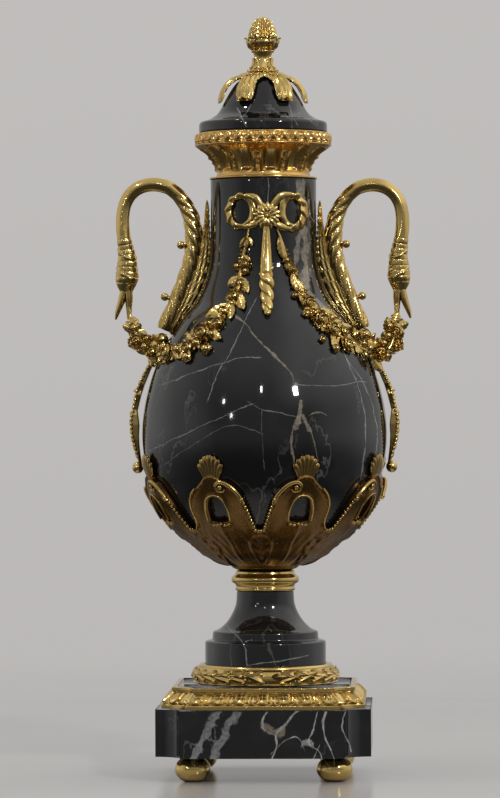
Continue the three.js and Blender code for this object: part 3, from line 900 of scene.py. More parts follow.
@dataclass
class Base:
    """The feet, the notched plinth, its step and the leaf band round it."""

    foot_pad: float = 5.5
    foot_sides: int = 48
    arris: float = 0.9
    notch: float = 19.0
    step_notch: float = 13.5
    band_notch: float = 18.0
    leaf_pitch: float = 16.6
    band_rows: int = 40
    seed: int = 3

    def feet(self) -> None:
        """Builds the four bun feet."""
        for node in ("foot_front_left", "foot_front_right", "foot_back_left", "foot_back_right"):
            low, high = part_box(node)
            radius, top = (high.y - low.y) / 2 / MM, high.z / MM
            middle = np.array([(low.x + high.x) / 2 / MM, (low.y + high.y) / 2 / MM, 0])
            tilt = np.linspace(-1, 1, 25) * math.acos(self.foot_pad / radius)
            bulge = np.stack([radius * np.cos(tilt), top / 2 * (1 + np.sin(tilt) / math.sin(tilt[-1]))], -1)
            profile = np.vstack([[0, 0], bulge, [0, top]])
            bun = revolve(profile, self.foot_sides).mapped(lambda p: p * FOOT_GAP + middle)
            dressed(Casting("bun_" + node).add(bun).made(), BURNISHED, [node])

    def plinth(self) -> None:
        """Builds the marble plinth and the marble step on it."""
        for node, notch, finish in (
            ("plinth", self.notch, PLINTH_MARBLE), ("plinth_step", self.step_notch, STEP_MARBLE),
        ):
            low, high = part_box(node)
            half, bottom, top = high.x / MM, low.z / MM, high.z / MM
            easing = self.arris * (1 - np.cos(np.linspace(0, math.pi / 2, 5)))[::-1]
            rise = self.arris * (1 - np.sin(np.linspace(0, math.pi / 2, 5)))[::-1]
            layers = [(bottom + h, notched(half - e, notch + e)) for e, h in zip(easing, rise[::-1])]
            layers += [(top - h, notched(half - e, notch + e)) for e, h in zip(easing[::-1], rise)]
            dressed(Casting(node + "_stone").add(slab(layers)).made(), finish, [node])

    def band_relief(self, across: Array, rise: Array) -> Array:
        """Returns the leaf-and-dart relief of the band.

        Args:
            across: the place along the band in motifs; whole numbers are leaf centres.
            rise: the place up the leaf zone, from 0 to 1.
        """
        a = np.abs(across - np.round(across)) * 2
        edge = 0.62 * np.sqrt(unit(1 - (1 - unit(rise / 0.5)) ** 2))
        leaf = unit((edge - a) / 0.16)
        leaf = leaf * leaf * (3 - 2 * leaf)
        spoon = 1.9 - 1.1 * hump(a, 0.3) * unit(rise * 1.6) + 0.7 * hump(a, 0.07)
        dart = 1.5 * hump(1 - a, 0.13) * unit(1.25 - rise)
        frill = 0.7 * np.abs(np.sin(across * math.pi * 3)) ** 0.6 * hump(rise - 0.07, 0.06)
        body = spoon * leaf + dart * (1 - leaf) + frill - 0.6 * (1 - leaf) * unit(rise / 0.2)
        return body * unit(rise / 0.04) * unit((1 - rise) / 0.06)

    def band(self) -> None:
        """Builds the gilt band with its row of leaves and darts."""
        low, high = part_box("leaf_band")
        step_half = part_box("plinth_step")[1].x / MM + 0.3
        half, bottom, top = high.x / MM, low.z / MM, high.z / MM
        path = notched(half, self.band_notch, steps=36, run=130)
        count = len(path) // 4
        run = distances(path[: count + 1])[:-1]
        straight, arc = 2 * (half - self.band_notch), self.band_notch * math.pi / 2
        motif = np.where(run < straight, (run - straight / 2) / self.leaf_pitch,
                         (run - straight) / arc * 2 + 0.5)
        motif = np.tile(motif, 4)
        section = eased([
            (0, 0), (0, 3.0), (1.6, 3.7), (1.3, 4.4), (3.0, 7.2), (5.4, 9.6), (8.2, 11.8), (8.3, 12.7),
            (7.4, 12.9), (7.4, top - bottom), (9.8, top - bottom),
        ], 0.4, 2)
        dense = Meridian(section)
        along = np.linspace(0, dense.length, self.band_rows * 2)
        inset = np.interp(along, dense.run, section[:, 0])
        height = np.interp(along, dense.run, section[:, 1])
        rings = []
        for d, z in zip(inset, height):
            scale = (half - d) / half
            rise = (z - 4.2) / (12.0 - 4.2)
            shown = np.zeros(len(motif))
            if 0 < rise < 1:
                shown = self.band_relief(motif, shown + rise)
            line = path * scale
            tangent = np.roll(line, -1, 0) - np.roll(line, 1, 0)
            tangent /= np.linalg.norm(tangent, axis=1)[:, None]
            outward = np.stack([tangent[:, 1], -tangent[:, 0]], -1)
            line = line + outward * shown[:, None]
            rings.append(np.column_stack([np.clip(line, -half, half), np.full(len(line), z + bottom)]))
        inner = notched(step_half, self.step_notch, steps=36, run=130)
        rings.append(np.column_stack([inner, np.full(len(inner), top)]))
        rings.append(np.column_stack([inner, np.full(len(inner), bottom)]))
        dressed(Casting("leaf_and_dart_band").add(loft(np.stack(rings), loop=True)).made(), CHASED,
                ["leaf_band"])

    def laurel(self) -> None:
        """Builds the laurel ring: a torus under overlapping leaves, berries and crossed ribbons."""
        low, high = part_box("laurel_ring")
        outer, bottom, top = high.x / MM, low.z / MM, high.z / MM
        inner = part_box("socle")[1].x / MM + 0.4
        core = outer - 1.7
        section = np.array([
            (inner, bottom), (core + 0.2, bottom), (core + 0.9, bottom + 1.0), (core - 0.4, bottom + 1.9),
            (core, bottom + 3.2), (core + 0.4, bottom + 5.6), (core, bottom + 8.2),
            (core - 1.6, bottom + 10.8), (core - 3.2, bottom + 11.9), (core - 3.0, bottom + 12.6),
            (core - 4.2, top), (inner, top),
        ])
        body = Meridian(eased(section, 0.6, 2)[1:-1])
        casting = Casting("laurel_wreath").add(revolve(eased(section, 0.6, 2), 160))
        zone = body.at_height(np.array([bottom + 1.6, bottom + 12.2]))
        dice = random.Random(self.seed)
        for row, count in enumerate((26, 28, 26)):
            start = zone[0] + (zone[1] - zone[0]) * (row + 0.5) / 3
            for step in range(count):
                angle = -180 + (step + 0.5 * (row % 2)) * 360 / count
                heading = 90 if angle > 0 else -90
                lean = (17 * (row - 1) + dice.uniform(-7, 7)) * (1 if angle > 0 else -1)
                leaf = Blade(dice.uniform(14.5, 17), dice.uniform(5.4, 6.2), thick=0.7, widest=0.42,
                             crown=0.85, rib=0.55,
                             curl=0.5, rows=10, columns=6)
                casting.add(leaf.part(body.patch(angle, start, heading + lean, 0.1)))
        for _ in range(30):
            angle, at = dice.uniform(-180, 180), dice.uniform(0.15, 0.8)
            berry = body.points(np.array(angle), np.array(zone[0] + (zone[1] - zone[0]) * at), np.array(0.7))
            casting.add(ball(berry, 1.2, sides=10))
        dressed(casting.made(), CHASED, ["laurel_ring"])

    def build(self) -> None:
        """Builds and dresses everything up to the laurel ring."""
        self.feet()
        self.plinth()
        self.band()
        self.laurel()


@dataclass
class Stem:
    """The marble socle and the turned gilt ring on it."""

    drum: float = 45.0
    upper: float = 39.5
    waist: float = 21.2

    def build(self) -> None:
        """Builds and dresses both pieces."""
        low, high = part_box("socle")
        bottom, top = low.z / MM, high.z / MM
        trumpet = smooth_line([(38.6, 107.6), (33.0, 110.4), (26.8, 117.2), (22.2, 127),
                               (self.waist, top)], 8)
        steps = eased([
            (self.drum, bottom), (self.drum, 99.8), (self.drum - 1.6, 100.9), (self.upper + 0.6, 101.6),
            (self.upper, 102.6), (self.upper - 0.3, 107.0), trumpet[0],
        ], 0.7, 4)
        socle = np.vstack([[0, bottom], steps, trumpet[1:], [0, top]])
        dressed(Casting("socle_stone").add(revolve(socle)).made(), SOCLE_MARBLE, ["socle"])
        low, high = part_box("stem_ring")
        bottom, top = low.z / MM, high.z / MM
        turned = eased([
            (0, bottom), (21.5, bottom), (22.4, bottom + 1.0), (22.4, bottom + 2.3), (21.7, bottom + 2.9),
            (22.0, bottom + 4.2), (22.6, bottom + 5.2), (24.9, bottom + 6.4), (25.3, bottom + 8.2),
            (25.2, bottom + 10.0), (23.6, bottom + 11.4), (22.3, bottom + 12.6), (21.8, top - 0.4),
            (21.4, top), (0, top),
        ], 0.8, 3)
        dressed(Casting("stem_knop").add(revolve(turned)).made(), BURNISHED, ["stem_ring"])


# ---- Vessel and cup --------------------------------------------------------------------------------------


VESSEL_LINE = smooth_line([
    (0, 156.4), (20, 157.4), (39.5, 164.6), (54, 176), (68.3, 187.5), (82.6, 210), (88.4, 229),
    (91.2, 252.7), (88.5, 279.5), (79, 309.5), (63, 338), (50.7, 355), (43.7, 371), (40.2, 387),
    (39.4, 416), (39.4, 443.4),
], 8)
VESSEL_SKIN = Meridian(VESSEL_LINE)


@dataclass
class Vessel:
    """The hollow marble body, open at the neck."""

    wall: float = 9.0
    rim_easing: float = 0.6

    def build(self) -> None:
        """Builds and dresses the vessel."""
        skin = VESSEL_SKIN.line - VESSEL_SKIN.normal * self.wall
        inside = skin[::-1]
        inside = inside[(inside[:, 0] > 0.5) & (inside[:, 1] < 440)]
        mouth = VESSEL_LINE[-1]
        lip = eased([VESSEL_LINE[-2], mouth, (mouth[0] - self.wall, mouth[1]), inside[0]], self.rim_easing)
        profile = np.vstack([VESSEL_LINE[:-2], lip, inside[1:], [0, VESSEL_LINE[0][1] + self.wall]])
        dressed(Casting("vessel_stone").add(revolve(profile, 128)).made(), VESSEL_MARBLE, ["vessel"])


@dataclass
class LeafCup:
    """The pierced cup of eight leaves, with plumes, scrolls and pearled edges."""

    leaves: int = 8
    turn: float = -1.2
    face: float = 2.7
    back: float = 0.6
    valley: float = 186.5
    plume_foot: float = 216.5
    flat_radius: float = 86.0
    spacing: float = 1.35
    pearl: float = 1.15

    def __post_init__(self) -> None:
        """Works out the sector's measures."""
        self.sector = 180 / self.leaves
        self.half_width = math.radians(self.sector) * self.flat_radius

    def height_of(self, z: Array | float) -> Array:
        """Returns the flat Y place of a height."""
        return VESSEL_SKIN.at_height(z)

    def across(self, degrees: float) -> float:
        """Returns the flat X place of an angle from the leaf's middle."""
        return math.radians(degrees) * self.flat_radius

    def edge(self, pearled: bool) -> Array:
        """Returns one edge from the valley up to the plume's foot, as (degrees from the middle, height).

        Args:
            pearled: whether it is the pearled edge; otherwise the smooth one.
        """
        line = [(20.2, 186.5), (17.4, 189.5), (15.6, 194.5), (15, 203), (13.6, 208.6), (11, 213.6),
                (6.6, 219.4)]
        if pearled:
            line = [(20.2, 186.5), (19.4, 189), (18, 194.5), (16.2, 203), (14.4, 209), (12.2, 214),
                    (8.8, 219.4)]
        return smooth_line([*line, (4.8, 222), (3.4, 224.4), (0.8, 226)], 6)

    def outline(self) -> Array:
        """Returns the whole sector's outline in flat units."""
        foot, valley = self.height_of(self.foot_height), self.height_of(self.valley)
        rise = np.linspace(foot, valley, 44)
        walls = np.stack([np.full(len(rise), self.half_width), rise], -1)
        floor = np.stack([np.linspace(-self.half_width, self.half_width, 56)[1:-1], np.full(54, foot)], -1)
        halves = []
        for pearled in (True, False):
            side = self.edge(pearled)
            right = np.stack([np.radians(side[:, 0]) * self.flat_radius, self.height_of(side[:, 1])], -1)
            ledge = np.stack([np.linspace(self.half_width, right[0, 0], 6)[1:-1], np.full(4, valley)], -1)
            halves.append(np.vstack([walls, ledge, right]))
        return np.vstack([floor, halves[0], halves[1][::-1] * np.array([-1, 1])])

    @property
    def foot_height(self) -> float:
        """The height where the cup's face starts, round the stem ring."""
        return 157.2

    def opening(self) -> Array:
        """Returns the arched opening's outline in flat units."""
        arch = [
            (6.0, 194.2), (6.1, 198), (5.9, 203), (4.9, 207.8), (2.6, 210.8), (-0.2, 211), (-2.8, 208.8),
            (-4.3, 204), (-5.0, 198), (-5.2, 194.2), (-3.8, 192.9), (0.4, 192.4), (4.4, 192.9),
        ]
        ring = smooth_line([*arch, arch[0]], 4)[:-1]
        return np.stack([np.radians(ring[:, 0]) * self.flat_radius, self.height_of(ring[:, 1])], -1)

    def relief(self, flat: Array, outline: Array, opening: Array) -> Array:
        """Returns the height of the chased face above the plain one."""
        x, y = flat[:, 0], flat[:, 1]
        degrees = np.degrees(x / self.flat_radius)
        z = np.interp(y, VESSEL_SKIN.run, VESSEL_SKIN.line[:, 1])
        border = CutPlate.distance(flat, outline[54:])
        hole = CutPlate.distance(flat, opening)
        rim = 0.9 * hump(hole - 1.9, 1.0) - 0.8 * hump(hole, 0.7)
        lifted = 0.7 * hump(border - 1.6, 1.1) * (z > 188) - 0.5 * hump(border, 0.6) * (z > 187)
        low = unit((190 - z) / 8)
        strokes = np.sin(np.radians(degrees * 26 + 40 * np.sin(z / 5.0)))
        strokes += 0.6 * np.sin(np.radians(degrees * 55 + z * 20))
        ribs = 0.2 * strokes * low * unit((z - 158) / 14)
        side = np.abs(np.abs(degrees) - self.sector)
        husk_half = 9.5 * np.sin(math.pi * unit((184 - z) / 26) ** 0.7) ** 0.8
        husk = unit((husk_half - side) / 2.2) * (z < 184) * (z > 159)
        husk = husk * (0.8 + 0.5 * hump(side, 1.0) + 0.3 * np.cos(np.radians(z * 60 - side * 30)))
        spread = unit(np.abs(degrees) / 16)
        folds = np.cos(np.radians(13 * (z - 186) + 34 * np.abs(degrees))) * unit((z - 166) / 20)
        folds = 0.45 * folds * unit((216 - z) / 6) * unit((hole - 2.4) / 2.5) * spread
        midrib = 0.8 * hump(degrees, 1.1) * unit((193 - z) / 3) * unit((z - 162) / 8)
        swell = 2.6 * hump(z - 204, 15) * unit(1 - np.abs(degrees) / 22) ** 0.5
        swell += 1.4 * unit((z - 205) / 18)
        return rim + lifted + ribs * (1 - unit(husk)) + husk + folds + midrib + swell

    def on_face(self, degrees: float, z: float, out: float) -> Array:
        """Returns a place on the cup's face."""
        return VESSEL_SKIN.points(np.array(degrees), np.array(self.height_of(z)), np.array(self.face + out))

    def plume(self) -> list[Part]:
        """Returns the fan of strands that crowns a leaf."""
        parts: list[Part] = []
        foot = float(self.height_of(self.plume_foot))
        strands = ((-18, 20.5), (18, 20.5), (-12, 23.4), (12, 23.4), (-6, 25.2), (6, 25.2), (0, 26))
        for lean, length in strands:
            run = np.linspace(0.16, 1, 16)
            share = np.abs(lean) / 18
            bend = math.radians(lean) * (0.72 + 0.28 * run)
            x, y = lean / 9 + length * run * np.sin(bend), foot - 1.5 + length * run * np.cos(bend)
            out = 2.2 + 0.9 * run**3 + 0.6 * (1 - share)
            path = VESSEL_SKIN.points(np.degrees(x / self.flat_radius), y, out)
            width = np.interp(run, [0.16, 0.5, 0.8, 0.93, 1], [1.1, 1.75, 2.3, 2.2, 1.3])
            parts.append(tube(path, width, up=path * [1, 1, 0.0], sides=10, flat=0.75))
        return parts

    def trimmings(self) -> list[Part]:
        """Returns one leaf's plume, pearls, scroll and bosses."""
        parts = self.plume()
        reach = self.plume_foot + 2
        for pearled, side in ((True, 1), (False, -1)):
            run = self.edge(pearled)
            run = np.vstack([[self.sector, self.valley], run[run[:, 1] < (209.5 if pearled else reach)]])
            flat = Meridian(np.stack([np.radians(run[:, 0]) * self.flat_radius,
                                      self.height_of(run[:, 1])], -1))
            steps = np.arange(1.2, flat.length, 3.1 if pearled else 1.5)
            places = []
            for s in steps:
                x, y = (float(np.interp(s, flat.run, flat.line[:, k])) for k in range(2))
                z = float(np.interp(y, VESSEL_SKIN.run, VESSEL_SKIN.line[:, 1]))
                lift = 0.7 + 2.0 * max(0.0, min(1.0, (z - 192) / 22))
                places.append(self.on_face(side * math.degrees(x / self.flat_radius), z, lift))
            if pearled:
                parts += [ball(at, self.pearl * 1.2, sides=10) for at in places]
            else:
                line = np.array(places)
                parts.append(tube(line, 0.95, up=line * [1, 1, 0.0], sides=8))
        scroll = smooth_line([
            (14.8, 208.6), (13.3, 213.0), (10.6, 217.4), (7.4, 220.6), (4.4, 221.4), (2.6, 219.2),
            (3.4, 216.2), (5.8, 215.4), (6.9, 217.2),
        ], 6)
        path = np.array([self.on_face(a, z, 3.1) for a, z in scroll])
        taper = np.interp(np.linspace(0, 1, len(path)), [0, 0.12, 0.4, 0.75, 1], [1.9, 1.5, 1.5, 1.2, 0.8])
        parts.append(tube(path, taper, up=path * [1, 1, 0.0], sides=10))
        ring = self.opening()
        away = ring - ring.mean(axis=0)
        ring = ring + away / np.linalg.norm(away, axis=1)[:, None] * 1.5
        arch = ring[ring[:, 1] > float(self.height_of(194.6))]
        height = np.interp(arch[:, 1], VESSEL_SKIN.run, VESSEL_SKIN.line[:, 1])
        rim = np.array([
            self.on_face(math.degrees(x / self.flat_radius), float(z), 3.3) for x,
            z in zip(arch[:, 0], height)
        ])
        parts.append(tube(rim, 0.85, up=rim * [1, 1, 0.0], sides=8))
        parts.append(ball(self.on_face(4.8, 218.2, 3.2), 1.9, sides=14))
        parts.append(ball(self.on_face(14.6, 210.2, 3.6), 1.7, sides=12))
        for x in np.linspace(-4.0, 5.0, 5):
            parts.append(ball(self.on_face(x, 191.6 + 0.6 * math.cos(x), 1.4), 1.7, stretch=(1, 1, 0.8),
                              sides=12))
        return parts

    def build(self) -> None:
        """Builds and dresses the cup."""
        outline, opening = self.outline(), self.opening()
        plate = CutPlate(outline, (opening,), self.spacing)
        half = self.half_width

        def laid(flat: Array, out: Array) -> Array:
            return VESSEL_SKIN.points(np.degrees(flat[:, 0] / self.flat_radius), flat[:, 1], out)

        def outer(flat: Array) -> Array:
            return laid(flat, self.face + self.relief(flat, outline, opening))

        def inner(flat: Array) -> Array:
            return laid(flat, np.full(len(flat), self.back))

        sector = plate.part(outer, inner, lambda flat: np.abs(np.abs(flat[:, 0]) - half) < 1e-4)
        shell, trims = Casting("leaf_cup_gilt"), Casting("leaf_cup_plumes")
        for k in range(self.leaves):
            angle = self.sector + k * 2 * self.sector
            flip = 1 if angle > 180 else -1
            shell.add(sector.mirrored(flip).turned(angle + self.turn))
            trims.add(*(part.mirrored(flip).turned(angle + self.turn) for part in self.trimmings()))
        floor = eased([(0, 152.9), (19.5, 152.9), (23.5, 154.4), (25.5, 156.0), (25.5, 157.5),
                       (0, 157.5)], 0.8)
        shell.add(revolve(floor, 96))
        # The cup's plate takes the dark gold of painted shade; its plumes take a brighter one.
        dressed(shell.made(weld=0.01), SHADED_CUP, ["leaf_cup"])
        dressed(trims.made(), PLUMED, ["leaf_cup"])


# ---- Collar, lid and finial ------------------------------------------------------------------------------


@dataclass
class Collar:
    """The fluted gilt collar with its rim of eggs and its base disc."""

    eggs: int = 36
    flutes: int = 12
    turn: float = -4.5
    bore: float = 31.0
    columns: int = 360
    rows: int = 26

    def egg(self, across: Array, rise: Array) -> Array:
        """Returns the height of the egg and its frame.

        Args:
            across: -1 to 1 over a motif.
            rise: 0 at the bottom to 1 at the top.
        """
        drop = (across / 0.6) ** 2 + (np.where(rise > 0.62, 0.0, (rise - 0.62) / 0.56)) ** 2
        egg = np.sqrt(unit(1 - drop)) * unit((1.0 - rise) / 0.12)
        ring = hump(np.sqrt(drop) - 1.2, 0.14) * (rise < 0.97)
        return 2.1 * egg**0.8 + 1.5 * ring - 0.3

    def flute(self, across: Array, rise: Array) -> Array:
        """Returns the depth of the flute, and the height of its edges and drops.

        Args:
            across: -1 to 1 over a motif, 0 on the rib.
            rise: 0 at the bottom to 1 at the top.
        """
        a = np.abs(across)
        hollow = unit((a - 0.42) / 0.58)
        gate = unit((rise - 0.04) / 0.1) * unit((1.02 - rise) / 0.12)
        scoop = -4.2 * np.sin(unit(hollow * 1.7) * math.pi / 2) * gate * (0.55 + 0.45 * rise)
        lip = 0.75 * hump(a - 0.4, 0.055) * gate
        stem = 0.55 * hump(a, 0.1) * unit((0.8 - rise) / 0.2) * gate
        drops = sum(
            height * np.exp(-((a / wide) ** 2) - ((rise - at) / tall) ** 2)
            for height, wide, at, tall in ((1.5, 0.12, 0.62, 0.07), (1.2, 0.1, 0.42, 0.05),
                                           (1.1, 0.13, 0.16, 0.1))
        )
        return scoop + lip + stem + drops

    def build(self) -> None:
        """Builds and dresses the collar."""
        low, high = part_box("collar")
        bottom, top, rim = low.z / MM, high.z / MM, high.x / MM
        basket = smooth_line([(34.4, bottom + 4.4), (35.0, bottom + 7.6), (37.0, bottom + 12.7),
                              (41.4, bottom + 18.6),
                              (46.2, bottom + 22.2), (49.8, bottom + 24.2)], 9)
        foot = eased([(self.bore, bottom), (40.2, bottom), (40.3, bottom + 1.2), (35.6, bottom + 1.6),
                      (35.2, bottom + 2.6), basket[0]], 0.35, 2)
        lip = eased([basket[-1], (50.9, bottom + 24.6), (51.2, bottom + 25.4), (50.2, bottom + 26.0)], 0.3,
                    2)[1:]
        bell = smooth_line([(50.2, bottom + 26.0), (49.5, bottom + 27.6), (49.3, bottom + 31.4),
                            (48.2, bottom + 33.6)], 12)
        crown = eased([bell[-1], (48.2, top - 0.4), (47.4, top), (self.bore, top)], 0.3, 2)[1:]
        profile = np.vstack([foot, basket[1:], lip, bell[1:], crown])
        angle = np.linspace(0, 360, self.columns, endpoint=False)
        skin = Meridian(profile)
        relief = np.zeros((len(profile), self.columns))
        rise = (profile[:, 1:] - basket[0][1]) / (basket[-1][1] - basket[0][1])
        rib = ((angle / (360 / self.flutes) + 0.5) % 1 * 2 - 1)[None, :]
        is_basket = (rise > 0) & (rise < 1) & (profile[:, :1] > self.bore + 1)
        relief += np.where(is_basket, self.flute(rib, rise), 0)
        climb = (profile[:, 1:] - bell[0][1]) / (bell[-1][1] - bell[0][1])
        motif = ((angle / (360 / self.eggs)) % 1 * 2 - 1)[None, :]
        relief += np.where((climb > 0) & (climb < 1), self.egg(motif, climb), 0)
        points = skin.points(angle[None, :] + 0 * relief, skin.run[:, None] + 0 * relief, relief)
        radius = np.hypot(points[..., 0], points[..., 1])
        points[..., :2] *= np.minimum(1, (rim - 0.05) / radius)[..., None]
        casting = Casting("collar_gilt").add(loft(points, loop=True).turned(self.turn))
        # The flutes take this gilt's long-reach painted shade.
        dressed(casting.made(crease=50), CHASED_WARM, ["collar"])


@dataclass
class Lid:
    """The domed marble lid with the six-leaf mount and the pine-cone finial on it."""

    recess: float = 18.5
    spigot: float = 30.3
    leaf_turn: float = 5.0
    leaf_count: int = 6

    def stone(self) -> None:
        """Builds the lid."""
        low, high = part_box("lid")
        flange, foot, top = high.x / MM, low.z / MM, high.z / MM
        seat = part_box("collar")[1].z / MM + 0.3
        dome = smooth_line([(42.0, 487.6), (38.6, 489.4), (34.6, 492.2), (31.6, 496.2), (28.6, 502),
                            (24.6, 509),
                            (20.2, 515), (14.2, 519.6)], 6)
        edge = eased([(self.recess, foot), (self.spigot, foot), (self.spigot, seat), (flange - 0.2, seat),
                      (flange, seat + 0.5), (flange, 484.4), (flange - 0.8, 486.2), (flange - 3, 487.1),
                      dome[0]], 0.7)
        hollow = [(0, 499), (self.recess * 0.7, 497), (self.recess, 490), (self.recess, foot + 0.4)]
        profile = np.vstack([[0, top], dome[::-1], edge[::-1], eased(hollow[::-1], 1.5)])
        dressed(Casting("lid_stone").add(revolve(profile)).made(), LID_MARBLE, ["lid"])

    def leaves(self) -> None:
        """Builds the mount of six drooping leaves."""
        droop = Meridian(smooth_line([
            (7.4, 521.9), (13.4, 521.2), (19.5, 518.6), (25.4, 513.6), (28.8, 508), (30.2, 503.2),
            (31.6, 500.9), (33.6, 500.2), (34.2, 501.4),
        ], 6)[::-1])
        length, flat_radius = droop.length, 26.0
        half = math.radians(180 / self.leaf_count) * flat_radius
        s = np.linspace(0, 1, 60)
        width = np.interp(s, [0, 0.3, 0.38, 0.46, 0.6, 0.8, 0.92, 0.98, 1],
                          [1, 1, 0.72, 0.57, 0.53, 0.47, 0.37, 0.2, 0.03])
        lobed = width * (1 - np.where(s > 0.4, 0.06, 0) * (1 - np.abs(np.sin(math.pi * 7 * s))))
        right = np.stack([half * lobed, length * 0.995 * s], -1)[:-1]
        outline = np.vstack([right, [[0, length * 0.995]], (right * [-1, 1])[::-1]])
        bottom = np.stack([np.linspace(-half, half, 26)[1:-1], np.zeros(24)], -1)
        outline = np.vstack([bottom, outline])
        plate = CutPlate(outline, (), 0.8)

        def relief(flat: Array) -> Array:
            x, y = flat[:, 0] / half, flat[:, 1] / length
            body = 1.5 * (1 - unit(np.abs(x) / 0.55) ** 2) * unit((y - 0.25) / 0.2)
            ribs = 0.6 * np.cos(x * math.pi * (8.5 - 1.5 * y)) * unit((y - 0.16) / 0.2)
            edge = -0.9 * np.exp(-((CutPlate.distance(flat, outline) / 0.8) ** 2)) * (y > 0.3)
            pearls = 0.9 * hump(y - 0.2, 0.05) * np.abs(np.cos(x * math.pi * 2))
            return body + ribs + edge + pearls

        def laid(flat: Array, out: Array) -> Array:
            return droop.points(np.degrees(flat[:, 0] / flat_radius), droop.length - flat[:, 1], out)

        sector = plate.part(
            lambda flat: laid(flat, 1.3 + relief(flat)), lambda flat: laid(flat, np.full(len(flat), 0.3)),
            lambda flat: (np.abs(np.abs(flat[:, 0]) - half) < 1e-4),
        )
        casting = Casting("lid_leaf_mount").ring(self.leaf_count, sector, 30 + self.leaf_turn)
        dressed(casting.made(weld=0.01), CHASED, ["lid_leaves"])

    def finial(self) -> None:
        """Builds the finial: beaded foot, fluted waist, leafy calyx and scaled cone."""
        low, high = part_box("finial")
        bottom, top = low.z / MM + 0.1, high.z / MM
        turned = eased([
            (0, bottom), (11.4, bottom), (11.6, bottom + 1.3), (9.6, bottom + 2.0), (8.0, bottom + 3.6),
            (6.9, bottom + 6.5), (6.1, bottom + 9.6), (6.3, bottom + 12.2), (7.2, bottom + 14.8),
            (7.6, bottom + 15.8), (7.0, bottom + 16.6), (9.4, bottom + 19.4), (10.4, bottom + 22.6),
            (9.8, bottom + 25.4), (9.2, bottom + 29), (7.9, bottom + 33.5), (5.4, bottom + 37.6),
            (2.4, top - 1.6), (0, top - 0.9),
        ], 1.0, 3)
        casting = Casting("pine_cone_finial").add(revolve(turned, 64))
        for count, radius, height, size in ((20, 10.9, bottom + 1.5, 1.0), (14, 7.6, bottom + 15.8, 0.95)):
            casting.ring(count, ball((0, -radius, height), size, sides=10))
        waist = Meridian(np.array([(10.0, bottom + 2.2), (7.6, bottom + 4.6), (6.5, bottom + 8),
                                   (6.2, bottom + 13)]))
        casting.ring(9, Blade(9.5, 4.2, thick=0.6, crown=0.7, rib=0.4,
                              curl=0.6).part(waist.patch(0, 0.5, 0, 0.1)))
        calyx = Meridian(smooth_line([
            (7.0, bottom + 16.8), (9.7, bottom + 19.2), (11.2, bottom + 22.4), (11.2, bottom + 25),
            (12.9, bottom + 26.7),
        ], 5))
        leaf = Blade(calyx.length, 7.6, thick=0.6, widest=0.6, lobes=3, lobe_depth=0.3, crown=0.6, rib=0.5,
                     curl=0.3)
        casting.ring(8, leaf.part(calyx.patch(0, 0, 0, 0.1)))
        cone = Meridian(np.array([(9.8, bottom + 23.5), (9.4, bottom + 28.5), (8.0, bottom + 33.4),
                                  (5.6, bottom + 37.4),
                                  (2.2, bottom + 40.4)]))
        for row in range(9):
            start = cone.length * (0.0 + 0.1 * row)
            radius = float(np.interp(start, cone.run, cone.line[:, 0]))
            grown = 0.5 + 0.5 * radius / 10
            count = max(6, round(2 * math.pi * radius / (3.9 * grown)))
            scale = Blade(5.2 * grown, 3.5 * grown, thick=0.8, widest=0.5, crown=0.75, rib=0.35,
                          curl=0.25 * grown,
                          rows=6, columns=4)
            casting.ring(count, scale.part(cone.patch(0, start, 0, 0.05)), (row % 2) * 180 / count)
        casting.add(ball((0, 0, top - 1.7), 1.6, sides=12))
        dressed(casting.made(), CHASED, ["finial"])

    def build(self) -> None:
        """Builds and dresses the lid, its mount and the finial."""
        self.stone()
        self.leaves()
        self.finial()


# ---- Mounts on the vessel --------------------------------------------------------------------------------


def on_vessel(x: float, z: float, out: float) -> Array:
    """Returns a place on the vessel's front seen at x and z, standing off it."""
    radius = float(VESSEL_SKIN.radius(z)) + out
    return np.array([x, -math.sqrt(max(0.0, radius**2 - x**2)), z])


def draped(part: Part, stand: float = 0.4) -> Part:
    """Returns a part made flat before y = 0, wrapped onto the vessel's front with its x and z kept."""

    def rule(points: Array) -> Array:
        radius = VESSEL_SKIN.radius(points[:, 2]) + stand - points[:, 1]
        y = -np.sqrt(np.maximum(radius**2 - points[:, 0] ** 2, 0.0))
        return np.stack([points[:, 0], y, points[:, 2]], -1)

    return part.mapped(rule)


def seat(x: float, z: float, out: float) -> Array:
    """Returns a garland's place seen at x and z: on the stone, or past it at the handle's front."""
    past = float(np.interp(abs(x), [76, 80.5, 92.5, 97.5, 99.5], [-20, -14, -9, -5, -3])) - out
    place = on_vessel(x, z, out)
    return np.array([x, min(place[1], past), z])


def outward(at: Array) -> Array:
    """Returns the direction that a flower faces at a place."""
    past = min(1.0, max(0.0, (abs(at[0]) - 70) / 14))
    away = at * np.array([1, 1, 0.0]) / math.hypot(at[0], at[1])
    away[2] = 0.25
    away = away * (1 - past) + np.array([0.25 * math.copysign(1, at[0]), -1.0, 0.1]) * past
    return away / np.linalg.norm(away)


